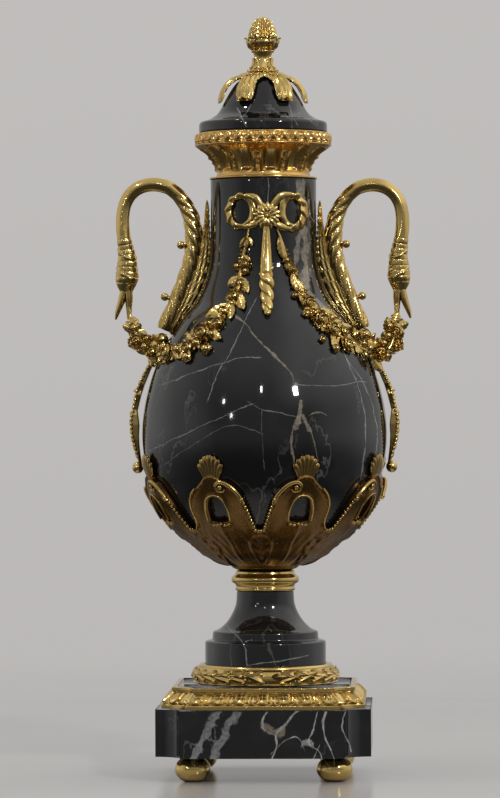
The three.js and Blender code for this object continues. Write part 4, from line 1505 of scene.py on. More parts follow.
@dataclass
class Flower:
    """A cast flower, seen face on.

    Attributes:
        radius: its radius.
        rings: (petals, share of the radius, lift, width share) for each ring, outermost first.
        heart: the radius of its middle.
        cup: how far a petal's edges stand above its middle, as a share of its width.
        widest: where a petal is widest.
    """

    radius: float
    rings: tuple[tuple[int, float, float, float], ...]
    heart: float
    cup: float = 0.16
    widest: float = 0.66

    def parts(self, at: Array, out: Array, roll: float) -> list[Part]:
        """Returns its petals and heart.

        Args:
            at: its middle.
            out: the direction it faces.
            roll: its turn about that direction, in degrees.
        """
        out = out / np.linalg.norm(out)
        side = np.cross((0, 0, 1.0), out)
        side /= np.linalg.norm(side)
        up = np.cross(out, side)
        made: list[Part] = []
        for index, (count, share, lift, wide) in enumerate(self.rings):
            length = self.radius * share
            width = wide * length * math.sin(math.pi / count)
            petal = Blade(length, width, thick=0.6, widest=self.widest, crown=-self.cup * width, rib=0.0,
                          curl=-0.1 * length, rows=6, columns=4)
            for k in range(count):
                turn = math.radians(roll + (k + 0.5 * (index % 2)) * 360 / count)
                along = math.cos(turn) * up + math.sin(turn) * side
                across = np.cross(along, out)
                tipped = along * math.cos(math.radians(lift)) + out * math.sin(math.radians(lift))
                made.append(petal.part(on_frame(at + out * 0.5 * index, across, tipped)))
        made.append(ball(at + out * (0.4 + 0.45 * len(self.rings)), self.heart, sides=10))
        return made


ROSE = ((5, 1.0, 14.0, 2.9), (5, 0.76, 34.0, 2.8), (4, 0.52, 56.0, 2.7))


@dataclass
class Bow:
    """The ribbon bow, with its daisy and the twisted drape that hangs from it."""

    daisy_at: tuple[float, float] = (3.9, 415.1)
    daisy_radius: float = 10.4
    steps: int = 96
    pleats: int = 9

    def loop(self, side: int, centre: Point, outer: Point, hole: Point) -> Part:
        """Returns one gathered ribbon loop.

        Args:
            side: -1 on the left, 1 on the right.
            centre: its middle, x and z.
            outer: its half width and half height.
            hole: the opening's half width and half height.
        """
        turn = np.linspace(0, 2 * math.pi, self.steps, endpoint=False)[:, None]
        t = np.linspace(-1, 1, 13)[None]
        share = (t + 1) / 2
        reach = [hole[k] + (outer[k] - hole[k]) * share for k in range(2)]
        pleat = np.cos(self.pleats * turn + side * 1.9 * t)
        frill = 1 + 0.035 * np.cos(self.pleats * turn + side * 1.9) * (share > 0.9)
        x = centre[0] + reach[0] * np.cos(turn) * frill
        z = centre[1] + reach[1] * np.sin(turn) * frill
        arch = np.sqrt(unit(1 - t**2))
        wave = 0.6 * pleat * np.clip(np.cos(turn - (0 if side > 0 else math.pi)) + 0.9, 0.15, 1)
        slant = 1.2 * t * np.sin(turn)
        front = 1.3 + 1.9 * arch + wave + slant
        behind = np.minimum(0.2 + 0.4 * arch + slant * 0.5, front - 0.5)
        rings = np.concatenate([np.stack([x, -front, z], -1), np.stack([x, -behind, z], -1)[:, ::-1]], 1)
        return loft(rings, loop=True)

    def fold(self, points: Sequence[Point], width: Sequence[float], lift: float) -> Part:
        """Returns a strip of ribbon with rounded edges.

        Args:
            points: (x, z) places along it.
            width: its width at its two ends and middle.
            lift: how far it stands off.
        """
        line = smooth_line([(x, -lift, z) for x, z in points], 8)
        share = np.linspace(0, 1, len(line))
        half = np.interp(share, [0, 0.5, 1], width) / 2
        return tube(line, half, up=(0, -1, 0), sides=12, flat=0.42)

    def tassel(self) -> list[Part]:
        """Returns the smooth stem and the twisted drape under it."""
        stem_z = np.linspace(self.daisy_at[1] - 8, 371.5, 20)
        stem = np.stack([np.interp(stem_z, [372, 404], [3.4, 3.6]), np.full(20, -2.6), stem_z], -1)
        size = np.interp(stem_z, [371.5, 373.5, 377, 390, 404], [3.4, 4.9, 4.9, 3.9, 2.7])
        strand = []
        for phase in (0.0, math.pi):
            run = np.linspace(0, 1, 90)
            drop = 373.5 - (373.5 - 344.5) * run
            body = np.interp(run, [0, 0.1, 0.3, 0.5, 0.7, 0.88, 1], [4.2, 5.5, 5.3, 4.6, 4.7, 3.8, 2.0])
            turn = phase + run * 2 * math.pi * 1.7
            path = np.stack([
                3.5 + 1.2 * run + 0.42 * body * np.cos(turn), -3.2 + 0.3 * body * np.sin(turn), drop,
            ], -1)
            strand.append(tube(path, body * 0.74, up=(0, 1, 0), sides=16, flat=0.85))
        knob = ball((4.8, -2.6, 344.3), 2.9, (1, 0.9, 0.9), 16)
        joint = self.fold([(-1.4, 371.5), (3.4, 374.2), (8.4, 377.2)], (2.6, 3.0, 2.6), 5.2)
        return [tube(stem, size, up=(0, 1, 0), sides=28, flat=0.8), *strand, knob, joint]

    def daisy(self) -> list[Part]:
        """Returns the daisy's petals and boss."""
        x, z = self.daisy_at
        at = on_vessel(x, z, 4.2)
        out = at * np.array([1, 1, 0.0])
        petals = Flower(self.daisy_radius, ((16, 1.0, 2.0, 2.7), (12, 0.72, 16.0, 2.6)), 0.5, -0.22, 0.6)
        unit = out / np.linalg.norm(out)
        boss = Flower(2.9, ((8, 1.0, 50.0, 2.4),), 1.7, 0.1)
        return [*petals.parts(at, out, 5), *boss.parts(at + unit * 0.8, out, 0)]

    def build(self) -> None:
        """Builds and dresses the front bow, and its plainer copy behind."""
        x, z = self.daisy_at
        flat = [
            self.loop(-1, (-15.6, 418.3), (11.9, 13.8), (6.6, 8.8)),
            self.loop(1, (23.1, 418.1), (11.0, 14.8), (5.2, 8.6)),
            self.fold([(-12, 430), (-5, 428.2), (0, 421.5)], (3.4, 6.2, 4.5), 3.0),
            self.fold([(-14, 407.2), (-7, 408.4), (0, 412)], (3, 5.2, 4), 2.6),
            self.fold([(22, 431), (14.5, 429.6), (8, 422)], (3, 5.8, 4.5), 3.2),
            self.fold([(22, 405.6), (14, 407.2), (8, 412)], (3, 5.4, 4), 2.6),
            ball((x, -1.6, z), 7.4, (1, 0.42, 1), 20),
            *self.tassel(),
        ]
        front = [*(draped(part) for part in flat), *self.daisy()]
        dressed(Casting("ribbon_bow_front").add(*front).made(crease=50), PETALLED, ["bow_front"])
        back = [part.mirrored(-1, -1) for part in front]
        dressed(Casting("ribbon_bow_back").add(*back).made(crease=50), PETALLED, ["bow_back"])


@dataclass(frozen=True)
class Spray:
    """What one garland is made of, in millimetres, seen from the front.

    Attributes:
        stalk: (x, z) places along its stalk, from the bow to the beak.
        leaves: (x, z, x, z, width) from foot to tip.
        roses: (x, z, radius).
        buds: (x, z, radius).
    """

    stalk: tuple[tuple[float, float], ...]
    leaves: tuple[tuple[float, float, float, float, float], ...]
    roses: tuple[tuple[float, float, float], ...]
    buds: tuple[tuple[float, float, float], ...]


LEFT_SPRAY = Spray(
    stalk=(
        (-9.3, 405.4), (-10.8, 397.4), (-12.4, 390), (-13.9, 384.1), (-15.3, 376.8), (-16, 370.1),
        (-16.7, 364.2), (-18.8, 356.8), (-21.7, 351.6), (-25.3, 347.2), (-30.4, 342.1), (-34.7, 335.4),
        (-41.3, 328.9), (-47.3, 323.8), (-54, 318.7), (-61.7, 315.9), (-69.7, 314.6), (-78.2, 314.8),
        (-84.5, 317.8), (-89.8, 322.3), (-94.5, 329.1), (-97.5, 335.9), (-99.5, 342), (-101, 349),
    ),
    leaves=(
        (-10.8, 400.3, -16.1, 392.7, 3.6), (-10.1, 400.3, -7.1, 392.9, 3.6),
        (-10.8, 398.8, -12, 390.8, 3.4), (-13.9, 386.4, -8.6, 381.1, 4), (-16, 370.8, -24.6, 363.9, 6.5),
        (-16, 370.8, -10.3, 358.9, 6.5), (-18.9, 359.7, -13, 346.7, 7), (-19.6, 358.3, -26.2, 353.9, 5),
        (-22.4, 350.9, -40.2, 340.7, 7.5), (-21.6, 350.9, -22.8, 339.7, 5.5),
        (-29.6, 341.3, -38.8, 344.4, 5), (-39.1, 331.1, -29.9, 324.7, 6), (-47.6, 334.2, -51.2, 326.8, 6),
        (-52.5, 320.9, -54.4, 328.4, 5), (-51, 320.9, -46.5, 324.5, 4.5),
        (-55.6, 320.2, -60.1, 315.1, 5.5), (-66.6, 316.7, -61.5, 310.7, 5),
        (-76.6, 317, -73.5, 322.5, 4.5), (-75.1, 315.5, -76.9, 308, 5), (-82.2, 319.3, -83, 305.2, 6.5),
        (-78.2, 320.7, -84.5, 320.8, 5), (-91.4, 322.6, -100.2, 320.5, 6), (-92.9, 326.6, -99.9, 329.4, 6),
        (-86, 317.1, -93.7, 316.4, 5.5), (-94.3, 331.8, -87.3, 328.5, 5), (-96, 333, -104.6, 335, 6.5),
        (-94, 334, -97.5, 341.5, 5.5), (-97, 330, -91.5, 336.5, 5.5), (-92, 326, -96, 317.8, 7),
    ),
    roses=(
        (-12.7, 379.3, 4.7), (-20.2, 356, 5.2), (-31.6, 335.9, 4.6), (-42.8, 328.9, 7.9),
        (-53.9, 318, 5.6), (-70, 314.6, 7), (-82.6, 315.6, 5), (-94.5, 324, 5.2),
    ),
    buds=(
        (-18.6, 378.3, 2.6), (-12.3, 374.8, 2.4), (-22.3, 350.8, 2.6), (-40.9, 317.5, 3.6),
        (-55.2, 311.7, 3.6), (-36.7, 328.4, 3), (-88.7, 319.8, 3.3), (-96.5, 333.8, 3.4),
        (-86.7, 325.9, 2.2), (-97.7, 323.6, 3), (-15.9, 365.6, 2.8), (-28.9, 345, 3.2),
        (-62.5, 317.5, 3.4), (-48.5, 322, 3), (-76.5, 313, 3),
    ),
)
RIGHT_SPRAY = Spray(
    stalk=(
        (11.3, 405.3), (13.4, 399.5), (15.6, 392.8), (17, 387), (18.5, 381), (21.4, 374.4), (24.3, 368.5),
        (28, 361.8), (32.4, 353.7), (37.6, 346.2), (43.5, 338.8), (50, 332.2), (57.3, 325.6),
        (64.5, 320.5), (71.7, 317.6), (79.7, 314.7), (88.6, 314.5), (93.8, 318.7), (96, 324.2),
        (97.4, 331.1), (98.4, 341.5), (99.1, 351),
    ),
    leaves=(
        (12.7, 400.2, 15.6, 384, 5.2), (17.8, 381, 21, 374.4, 4), (22.1, 373.7, 25.9, 359.6, 5.2),
        (25.1, 369.2, 31.6, 359.6, 4.5), (28.7, 361.1, 30.3, 349.9, 4.5), (36.7, 354.5, 40.5, 345.5, 5),
        (34.7, 348.5, 32.6, 341, 5), (36.2, 345.5, 46.5, 330.7, 8), (41.2, 346.3, 55, 339.8, 7),
        (47.1, 338.1, 44.3, 330, 5), (50.7, 333.7, 57.9, 337.6, 5), (53.6, 332.3, 64.3, 333.2, 6),
        (52.3, 326.3, 55.6, 315.2, 6.5), (58.7, 326.4, 65.9, 324.3, 5), (66.7, 322.8, 72.5, 313.9, 6),
        (70.2, 322.9, 81.2, 314.7, 7.5), (74.6, 322.9, 84.2, 319.9, 6), (83.4, 319.2, 80.4, 308.8, 6),
        (89.3, 314.7, 93, 308, 5.5), (86.4, 319.9, 84.8, 325.4, 5), (92.3, 322.2, 88.4, 329.1, 6),
        (94.5, 327.4, 91.2, 338.5, 7), (97.2, 325.2, 103, 317, 6), (80.4, 311.8, 87, 300.6, 7),
        (98.5, 333, 107, 336, 6.5), (98, 336, 103, 329.5, 6), (97, 336, 99.5, 344.5, 6),
        (95, 332, 91.8, 340.2, 5),
    ),
    roses=(
        (22.5, 375.5, 3.9), (34.3, 350.7, 5.6), (43.2, 338.8, 6.6), (52.2, 331.1, 5.8), (62.8, 319.7, 5.4),
        (60.1, 329.4, 4.4), (86.7, 314.7, 6), (98, 320.7, 5.4), (97.5, 330, 4.8),
    ),
    buds=(
        (18.5, 382.5, 2.4), (24.9, 356.6, 1.9), (33.4, 343.2, 2.6), (51, 340, 2.4), (45.7, 332.9, 2.5),
        (45.5, 324, 2), (55.2, 317.4, 2.6), (69.1, 328.1, 3.6), (76.1, 327.7, 4), (91.5, 312, 3),
        (101, 328.6, 2.8), (93.6, 334.1, 3.2), (89.3, 321.4, 3.2), (79, 317.7, 3.4), (92.5, 327, 3.2),
        (74.5, 321, 3), (29.5, 356.5, 2.6), (39, 343.5, 2.8),
    ),
)


@dataclass
class Garlands:
    """The four garlands of roses, leaves and buds."""

    stalk: float = 1.9
    back_ends: float = 88.0
    filler_gap: float = 3.4
    seed: int = 7

    def leaf(self, row: Sequence[float], dice: random.Random) -> Part:
        """Returns one leaf from its foot to its tip."""
        foot, tip = seat(row[0], row[1], 2.4), seat(row[2], row[3], dice.uniform(1.6, 2.8))
        along = tip - foot
        across = np.cross(along, outward(foot))
        length = float(np.linalg.norm(along))
        blade = Blade(length * 1.08, row[4] * 1.22, thick=0.6, widest=0.5, lobes=5 if length > 9 else 3,
                      lobe_depth=0.2, crown=0.7, rib=0.5,
                      curl=dice.uniform(-0.3, 0.9), rows=6, columns=6)
        return blade.part(on_frame(foot, across, along))

    def filler(self, spray: Spray, dice: random.Random, reach: float) -> list[Part]:
        """Returns the small leaves that fill the garland's body between the larger ones."""
        line = smooth_line(spray.stalk, 6)
        run = distances(line)
        parts: list[Part] = []
        for at in np.arange(15, run[-1] - 12, self.filler_gap):
            x, z = (float(np.interp(at, run, line[:, k])) for k in range(2))
            ahead = [float(np.interp(at + 1, run, line[:, k])) - v for k, v in enumerate((x, z))]
            if abs(x) > reach:
                break
            size = float(np.interp(at, [15, 30, 60, 100, 160],
                                   [3.6, 4.6, 5.6, 6.6, 6.2])) * dice.uniform(0.8, 1.15)
            for lean in (-1, 1):
                turn = math.atan2(ahead[1], ahead[0]) + lean * math.radians(dice.uniform(35, 80))
                tip = (x + size * math.cos(turn), z + size * math.sin(turn))
                foot = seat(x, z, 1.4)
                along = seat(*tip, dice.uniform(0.8, 2.6)) - foot
                blade = Blade(float(np.linalg.norm(along)), size * 0.55, thick=0.6, lobes=3, lobe_depth=0.2,
                              crown=0.6,
                              rib=0.4, curl=dice.uniform(0, 0.8), rows=5, columns=4)
                parts.append(blade.part(on_frame(foot, np.cross(along, outward(foot)), along)))
        return parts

    def garland(self, spray: Spray, seed: int, reach: float) -> list[Part]:
        """Returns one garland's parts.

        Args:
            spray: what it is made of.
            seed: settles its small differences.
            reach: how far from the urn's middle it goes.
        """
        dice = random.Random(self.seed + seed)
        line = smooth_line([seat(x, z, 1.6) for x, z in spray.stalk if abs(x) < reach], 6)
        up = np.array([outward(p) for p in line])
        share = np.linspace(0, 1, len(line))
        parts = [tube(line, np.interp(share, [0, 0.05, 0.4, 0.9, 1], [0.8, 1.2, self.stalk, 1.7, 1.3]),
                      up=up, sides=8)]
        parts += [self.leaf(row, dice) for row in spray.leaves if abs(row[0]) < reach]
        parts += self.filler(spray, dice, reach)
        for x, z, radius in spray.roses:
            if abs(x) < reach:
                at = seat(x, z, 2.6)
                parts += Flower(radius * 1.1, ROSE, radius * 0.24).parts(at, outward(at), dice.uniform(0, 70))
        for x, z, radius in spray.buds:
            if abs(x) < reach:
                at = seat(x, z, 2.2 + 0.3 * radius)
                parts.append(ball(at, radius * 0.8, sides=12))
                parts += Flower(radius, ((4, 1.25, 48.0, 2.6),), 0.5, 0.3).parts(
                    at - outward(at) * 0.5 * radius, outward(at), dice.uniform(0, 90))
        return parts

    def build(self) -> None:
        """Builds and dresses the four garlands."""
        for index, (name, spray) in enumerate((("left", LEFT_SPRAY), ("right", RIGHT_SPRAY))):
            front = self.garland(spray, index, 200)
            node = f"garland_front_{name}"
            dressed(Casting("flowers_front_" + name).add(*front).made(crease=55), PETALLED, [node])
            back = [part.mirrored(1, -1) for part in self.garland(spray, index + 10, self.back_ends)]
            node = f"garland_back_{name}"
            dressed(Casting("flowers_back_" + name).add(*back).made(crease=55), PETALLED, [node])


# ---- Handles ---------------------------------------------------------------------------------------------


@dataclass
class SwanHandle:
    """A swan's neck and head with its wing, made for +X and mirrored for the other side."""

    rings: int = 420
    sides: int = 48
    ball_radius: float = 3.1
    skew: float = 0.8
    middle_line: tuple[tuple[float, float, float], ...] = (
        (75.0, 332.4, 4.6), (73.8, 335, 5.1), (71.5, 340, 5.2), (69, 345, 5.2), (66.8, 350, 5.2),
        (64.8, 355, 5.2), (62.9, 360, 5.25), (60.8, 365, 5.3), (58.9, 370, 5.4), (57, 375, 5.55),
        (55.1, 380, 5.75), (53.9, 385, 5.9), (52.9, 390, 6.05), (52.3, 395, 6.15), (52.1, 400, 6.3),
        (52.3, 405, 6.35), (52.9, 410, 6.25), (54, 415.5, 6.0), (56.4, 421.5, 5.6), (60.2, 428, 5.3),
        (65.2, 433.6, 5.15), (71.5, 437.8, 5.1), (81.5, 439.8, 5.1), (91, 437.9, 5.0), (98, 432.8, 4.9),
        (102.2, 425.5, 4.85), (104, 416.5, 4.95), (104.1, 408, 5.1), (103.3, 400, 5.25), (102.1, 393, 5.8),
        (101.2, 386, 6.7), (101.1, 379, 7.6), (101.3, 373, 8.2), (101.6, 369, 8.1), (101.8, 365.5, 7.1),
        (101.8, 362.4, 5.6), (101.8, 360, 4.2), (101.8, 358.6, 2.6),
    )

    def neck(self) -> list[Part]:
        """Returns the neck, feathered towards the breast, and the head."""
        table = smooth_line([(x, z, r) for x, z, r in self.middle_line], 12)
        line = np.stack([table[:, 0], 0 * table[:, 0], table[:, 1]], -1)
        run = distances(line)
        s = np.linspace(0, run[-1], self.rings)
        path = np.stack([np.interp(s, run, line[:, k]) for k in range(3)], -1)
        size = np.interp(s, run, table[:, 2])
        psi = np.linspace(0, 2 * math.pi, self.sides, endpoint=False)
        along, left = s[:, None], (run[-1] - s)[:, None]
        _, side, upward = frames_along(path, (0, 1, 0))
        around = psi[None] / (2 * math.pi)
        rate = np.interp(s, [0, 35, 60, 100], [1 / 26, 1 / 15, 1 / 9.5, 1 / 9.5])
        turns = np.concatenate([[0], np.cumsum((rate[1:] + rate[:-1]) / 2 * np.diff(s))])[:, None]
        fold = (2.6 * np.abs((psi[None] / math.pi) % 2 - 1) + turns) % 1
        breast = unit((112 - along) / 22) * unit(along / 4)
        feather = breast * (0.85 * (1 - np.abs(2 * fold - 1) ** 1.6) - 0.4
                            + 0.06 * np.cos(along * 2.4 + 9 * fold))
        smooth_part = unit((along - 105) / 15) * unit((left - 44) / 8)
        ridges = smooth_part * 0.22 * np.cos(5 * psi + 0.6)[None]
        row = left / 4.1
        du = (around * 11 + 0.5 * (np.floor(row) % 2)) % 1 - 0.5
        dv = row % 1
        scale = unit(1 - (2 * du) ** 2) ** 0.5 * unit(1 - (1 - dv) ** 2) ** 0.5
        head = unit((43 - left) / 4) * unit((left - 4) / 5)
        lines = sum(0.55 * hump(left - at - 5 * np.cos(psi - 0.8)[None], 0.8) for at in (17, 31))
        radius = size[:, None] + feather + ridges + head * (0.75 * scale - 0.4) + head * lines
        flat = np.interp(left[:, 0], [0, 20, 40], [0.86, 0.9, 1])
        across = (radius * np.cos(psi))[..., None] * side[:, None]
        over = (radius * flat[:, None] * np.sin(psi))[..., None] * upward[:, None]
        beak = [
            tube(smooth_line([(103.4, 0, 362), (105.4, 0, 354), (108.3, 0, 346), (110.0, 0, 340.0)], 6),
                 np.interp(np.linspace(0, 1, 19), [0, 0.3, 0.7, 1], [3.0, 2.9, 1.9, 0.8]), sides=14,
                 flat=1.3),
            tube(smooth_line([(100.2, 0, 362), (99.9, 0, 355), (99.9, 0, 347), (99.9, 0, 340.0)], 6),
                 np.interp(np.linspace(0, 1, 19), [0, 0.3, 0.7, 1], [3.2, 3.0, 2.1, 1.4]), sides=14,
                 flat=1.3),
        ]
        eyes = [ball((101.2, sign * 5.6, 366.5), 1.1, sides=10) for sign in (-1, 1)]
        return [loft(path[:, None] + across + over), *beak, *eyes]

    def wing(self) -> Part:
        """Returns the wing: a long plate of lined feathers whose tips lie against the marble."""
        z = np.linspace(428.5, 327.5, 230)
        near = np.interp(z, VESSEL_LINE[:, 1], VESSEL_LINE[:, 0]) - 1.2
        inner = np.maximum(near, np.interp(z, [327, 400, 414, 421, 426, 428.5],
                                           [0, 39.4, 39.9, 40.2, 41, 42]))
        outer = np.interp(z, [327.5, 333, 340, 350, 360, 370, 380, 390, 400, 405, 412, 420, 426, 428.5],
                          [68.6, 72.4, 71.0, 66.6, 62.6, 58.4, 54.2, 50.4, 47.0, 45.6, 44.4, 43.8, 43.1,
                           42.3])
        steps = np.concatenate([np.arange(422, 386, -4.2), np.arange(384, 330, -8.2)])
        index = np.clip(np.searchsorted(-steps, -z) - 1, 0, len(steps) - 2)
        saw = unit((steps[index] - z) / (steps[index] - steps[index + 1]))
        inner = inner + np.where(z < 386, 1.2, 0.7) * saw**1.5 * unit((z - 328) / 5)
        t = np.linspace(0, 1, 25)
        x = inner[:, None] + (outer - inner)[:, None] * t
        lens = unit(1 - np.abs(2 * t - 1) ** 2.6) ** 0.6
        lines = np.cos(2 * math.pi * (4.2 * t[None] ** 0.9 - z[:, None] / 46))
        frill = hump(t - 0.06, 0.07)[None] * (0.6 + 0.7 * np.cos(2 * math.pi * saw[:, None]))
        half = 2.5 * lens + 0.34 * lines * lens + 0.9 * frill
        half = half * np.clip((428.5 - z) / 16, 0.3, 1)[:, None] * np.clip((z - 325) / 9, 0.3, 1)[:,
            None] + 0.2
        front = np.stack([x, -half, z[:, None] + 0 * x], -1)
        behind = np.stack([x, half, z[:, None] + 0 * x], -1)
        return loft(np.concatenate([front, behind[:, ::-1]], 1))

    def skewed(self, lean: float) -> Callable[[Array], Array]:
        """Returns the rule that opens or closes a handle's arch a little, as hand fitting leaves it.

        Args:
            lean: how far its outer side moves out.
        """

        def rule(points: Array) -> Array:
            moved = points.copy()
            moved[:, 0] += lean * unit((points[:, 0] - 58) / 40)
            moved[:, 2] += 0.8 * lean * unit((points[:, 2] - 400) / 40)
            moved[:, 0] = np.minimum(moved[:, 0], -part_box("handle_left")[0].x / MM)
            return moved

        return rule

    def balls(self) -> list[Part]:
        """Returns the two small balls on the neck's inner side."""
        parts = []
        for centre, root in (((61.6, 395.4), (56, 396.4)), ((73.6, 356.8), (67, 354.6))):
            ends = np.array([(root[0], 0, root[1]), (centre[0], 0, centre[1])])
            pin = np.linspace(ends[0], ends[1], 6)
            parts.append(tube(pin, np.array([2.4, 1.9, 1.6, 1.5, 1.5, 1.5]), sides=10))
            parts.append(ball((centre[0], 0, centre[1]), self.ball_radius, sides=18))
        return parts

    def build(self) -> None:
        """Builds and dresses both handles."""
        right = [*self.neck(), self.wing(), *self.balls()]
        for name, sign in (("right", 1), ("left", -1)):
            fitted = [part.mapped(self.skewed(-sign * self.skew)) for part in right]
            sided = [part.mirrored(sign) if sign < 0 else part for part in fitted]
            casting = Casting("swan_" + name).add(*sided)
            dressed(casting.made(crease=50), FEATHERED, ["handle_" + name])


@dataclass
class Strap:
    """The pearled strap under a handle, with a bud at its head and a knob at its foot."""

    rows: int = 130
    columns: int = 16
    pearl: float = 1.35
    pearl_gap: float = 3.1

    def blade(self) -> tuple[Part, Array, Array]:
        """Returns the strap, the middle line of its face, and its half widths along that."""
        heights = [322, 316, 310.8, 301.9, 290.7, 283.3, 272.1, 266.1, 260.9, 253.5, 246, 238.6, 232.6]
        reach = [80.6, 82.4, 84.4, 89.6, 95.0, 97.3, 99.5, 100.9, 100.9, 100.3, 98.8, 96.6, 94.4]
        back = [75.5, 77.5, 80.4, 84.6, 89.2, 91.6, 94.4, 93.6, 93.1, 93.5, 93.2, 92.4, 91.6]
        face = smooth_line(list(zip(reach, heights)), 12)
        run = distances(face)
        s = np.linspace(0, 1, self.rows)
        line = np.stack([np.interp(s * run[-1], run, face[:, k]) for k in range(2)], -1)
        width = np.interp(s, [0, 0.08, 0.2, 0.36, 0.41, 0.44, 0.5, 0.57, 0.6, 0.68, 0.8, 0.95, 1],
                          [3.8, 5.0, 6.0, 6.4, 5.2, 6.2, 5.4, 4.6, 6.2, 6.8, 5.8, 3.6, 2.6])
        t = np.linspace(-1, 1, self.columns)
        border = 0.7 * hump(np.abs(t) - 0.86, 0.14)[None]
        rib = 1.0 * hump(t, 0.16)[None]
        veins = 0.4 * np.cos(2 * math.pi * (s[:, None] * 15 - 0.8 * np.abs(t)))
        ring = sum(1.4 * hump(s - at, 0.012) for at in (0.41, 0.585))[:, None]
        lift = border + rib + veins * (np.abs(t) < 0.8) - 1.3 + ring - 1.4 * (t**4)[None]
        top_x = line[:, :1] + lift
        under_x = np.interp(line[:, 1], heights[::-1], back[::-1])[:, None] + 0.8 * (np.abs(t) ** 3)[None]
        clear = np.interp(line[:, 1], VESSEL_LINE[:, 1], VESSEL_LINE[:, 0])[:, None] + 0.3
        under_x = np.maximum(under_x, clear)
        top_x = np.maximum(top_x, under_x + 0.8)
        y, z = width[:, None] * t, line[:, 1:] + 0 * t
        upper = np.stack([top_x, y, z], -1)
        lower = np.stack([under_x, y * 0.92, z], -1)
        return loft(np.concatenate([upper, lower[:, ::-1]], 1)), line, width

    def build(self) -> None:
        """Builds and dresses both straps."""
        blade, line, width = self.blade()
        run = distances(line)
        parts = [blade]
        for at in np.arange(0.12 * run[-1], 0.97 * run[-1], self.pearl_gap):
            x, z = (float(np.interp(at, run, line[:, k])) for k in range(2))
            half = float(np.interp(at, run, width))
            parts += [ball((x - 1.9, sign * half * 0.97, z), self.pearl, sides=12) for sign in (-1, 1)]
        parts.append(ball((94.6, 0, 229.6), 4.2, stretch=(1, 1, 1.05), sides=24))
        parts.append(ball((76.8, 0, 325.2), 4.8, stretch=(1.15, 1.15, 1), sides=24))
        husk = Blade(10.5, 6.2, thick=0.6, crown=0.9, rib=0.5, curl=1.6)
        for k in range(6):
            turn = math.radians(60 * k)
            across = np.array([math.cos(turn), math.sin(turn), 0])
            away = np.cross(across, (0, 0, 1.0))
            parts.append(husk.part(on_frame(np.array([78.0, 0, 318.6]) + away * 3.4, across, (0, 0, 1.0))))
        collar = eased([(0, 0), (4.8, 0), (5.6, 1.2), (4.6, 2.4), (0, 2.4)], 0.6)
        parts.append(revolve(collar, 32).mapped(lambda p: p + np.array([79.0, 0, 317.4])))
        for name, sign in (("right", 1), ("left", -1)):
            sided = [part.mirrored(sign) if sign < 0 else part for part in parts]
            casting = Casting("pearled_strap_" + name).add(*sided)
            dressed(casting.made(crease=45), CHASED, ["strap_" + name])


# ---- The finishes in use ---------------------------------------------------------------------------------

BURNISHED = Gilt("burnished_gilt", roughness=(0.1, 0.2), tooling=0.006, grime=0.3)
CHASED = Gilt("chased_gilt", depth=2.6)
# Painted shade: its long occlusion reach darkens the collar's flutes right across.
CHASED_WARM = Gilt("chased_warm_gilt", bright=(0.7, 0.45, 0.15), recess=(0.16, 0.06, 0.018), depth=7.0)
FEATHERED = Gilt("feathered_gilt", roughness=(0.13, 0.25), depth=2.2, tooling=0.008)
PETALLED = Gilt("petalled_gilt", recess=(0.3, 0.16, 0.045), depth=1.2, roughness=(0.16, 0.26))
# Painted shade: the leaf cup under the vessel's belly gets a dark brown gold that stands for the shade
# falling there.
SHADED_CUP = Gilt("shaded_cup_gilt", bright=(0.19, 0.105, 0.034), recess=(0.06, 0.028, 0.009), roughness=(0.26, 0.36),
            grime=0.3)
PLUMED = Gilt("plumed_gilt", bright=(0.52, 0.35, 0.115), recess=(0.1, 0.05, 0.015), depth=2.6)
VESSEL_MARBLE = Marble("vessel_marble", 0.0, VESSEL_VEINS, 0.3)
PLINTH_MARBLE = Marble("plinth_marble", 1.7, PLINTH_VEINS, 0.45)
STEP_MARBLE = Marble("step_marble", 2.9, (), 0.4)
SOCLE_MARBLE = Marble("socle_marble", 4.3, SOCLE_VEINS, 0.3)
LID_MARBLE = Marble("lid_marble", 5.9, LID_VEINS, 0.4)


# ---- Stage -----------------------------------------------------------------------------------------------


@dataclass
class Lamp:
    """One soft light.

    Attributes:
        azimuth: its direction round the urn, 0 before the front and 90 at +X.
        elevation: its height as an angle.
        distance: how far it is, in metres.
        size: its width and height, in metres.
        power: its power, in watts.
    """

    azimuth: float
    elevation: float
    distance: float
    size: tuple[float, float]
    power: float

    def hang(self, index: int, target: Vector) -> None:
        """Hangs the lamp, aimed at a point."""
        data = bpy.data.lights.new(f"lamp_{index}", "AREA")
        data.shape = "RECTANGLE"
        data.size, data.size_y = self.size
        data.energy = self.power
        lamp = bpy.data.objects.new(f"lamp_{index}", data)
        a, e = math.radians(self.azimuth), math.radians(self.elevation)
        away = Vector((math.sin(a) * math.cos(e), -math.cos(a) * math.cos(e), math.sin(e)))
        lamp.location = target + away * self.distance
        lamp.rotation_euler = (-away).to_track_quat("-Z", "Y").to_euler()
        bpy.context.scene.collection.objects.link(lamp)


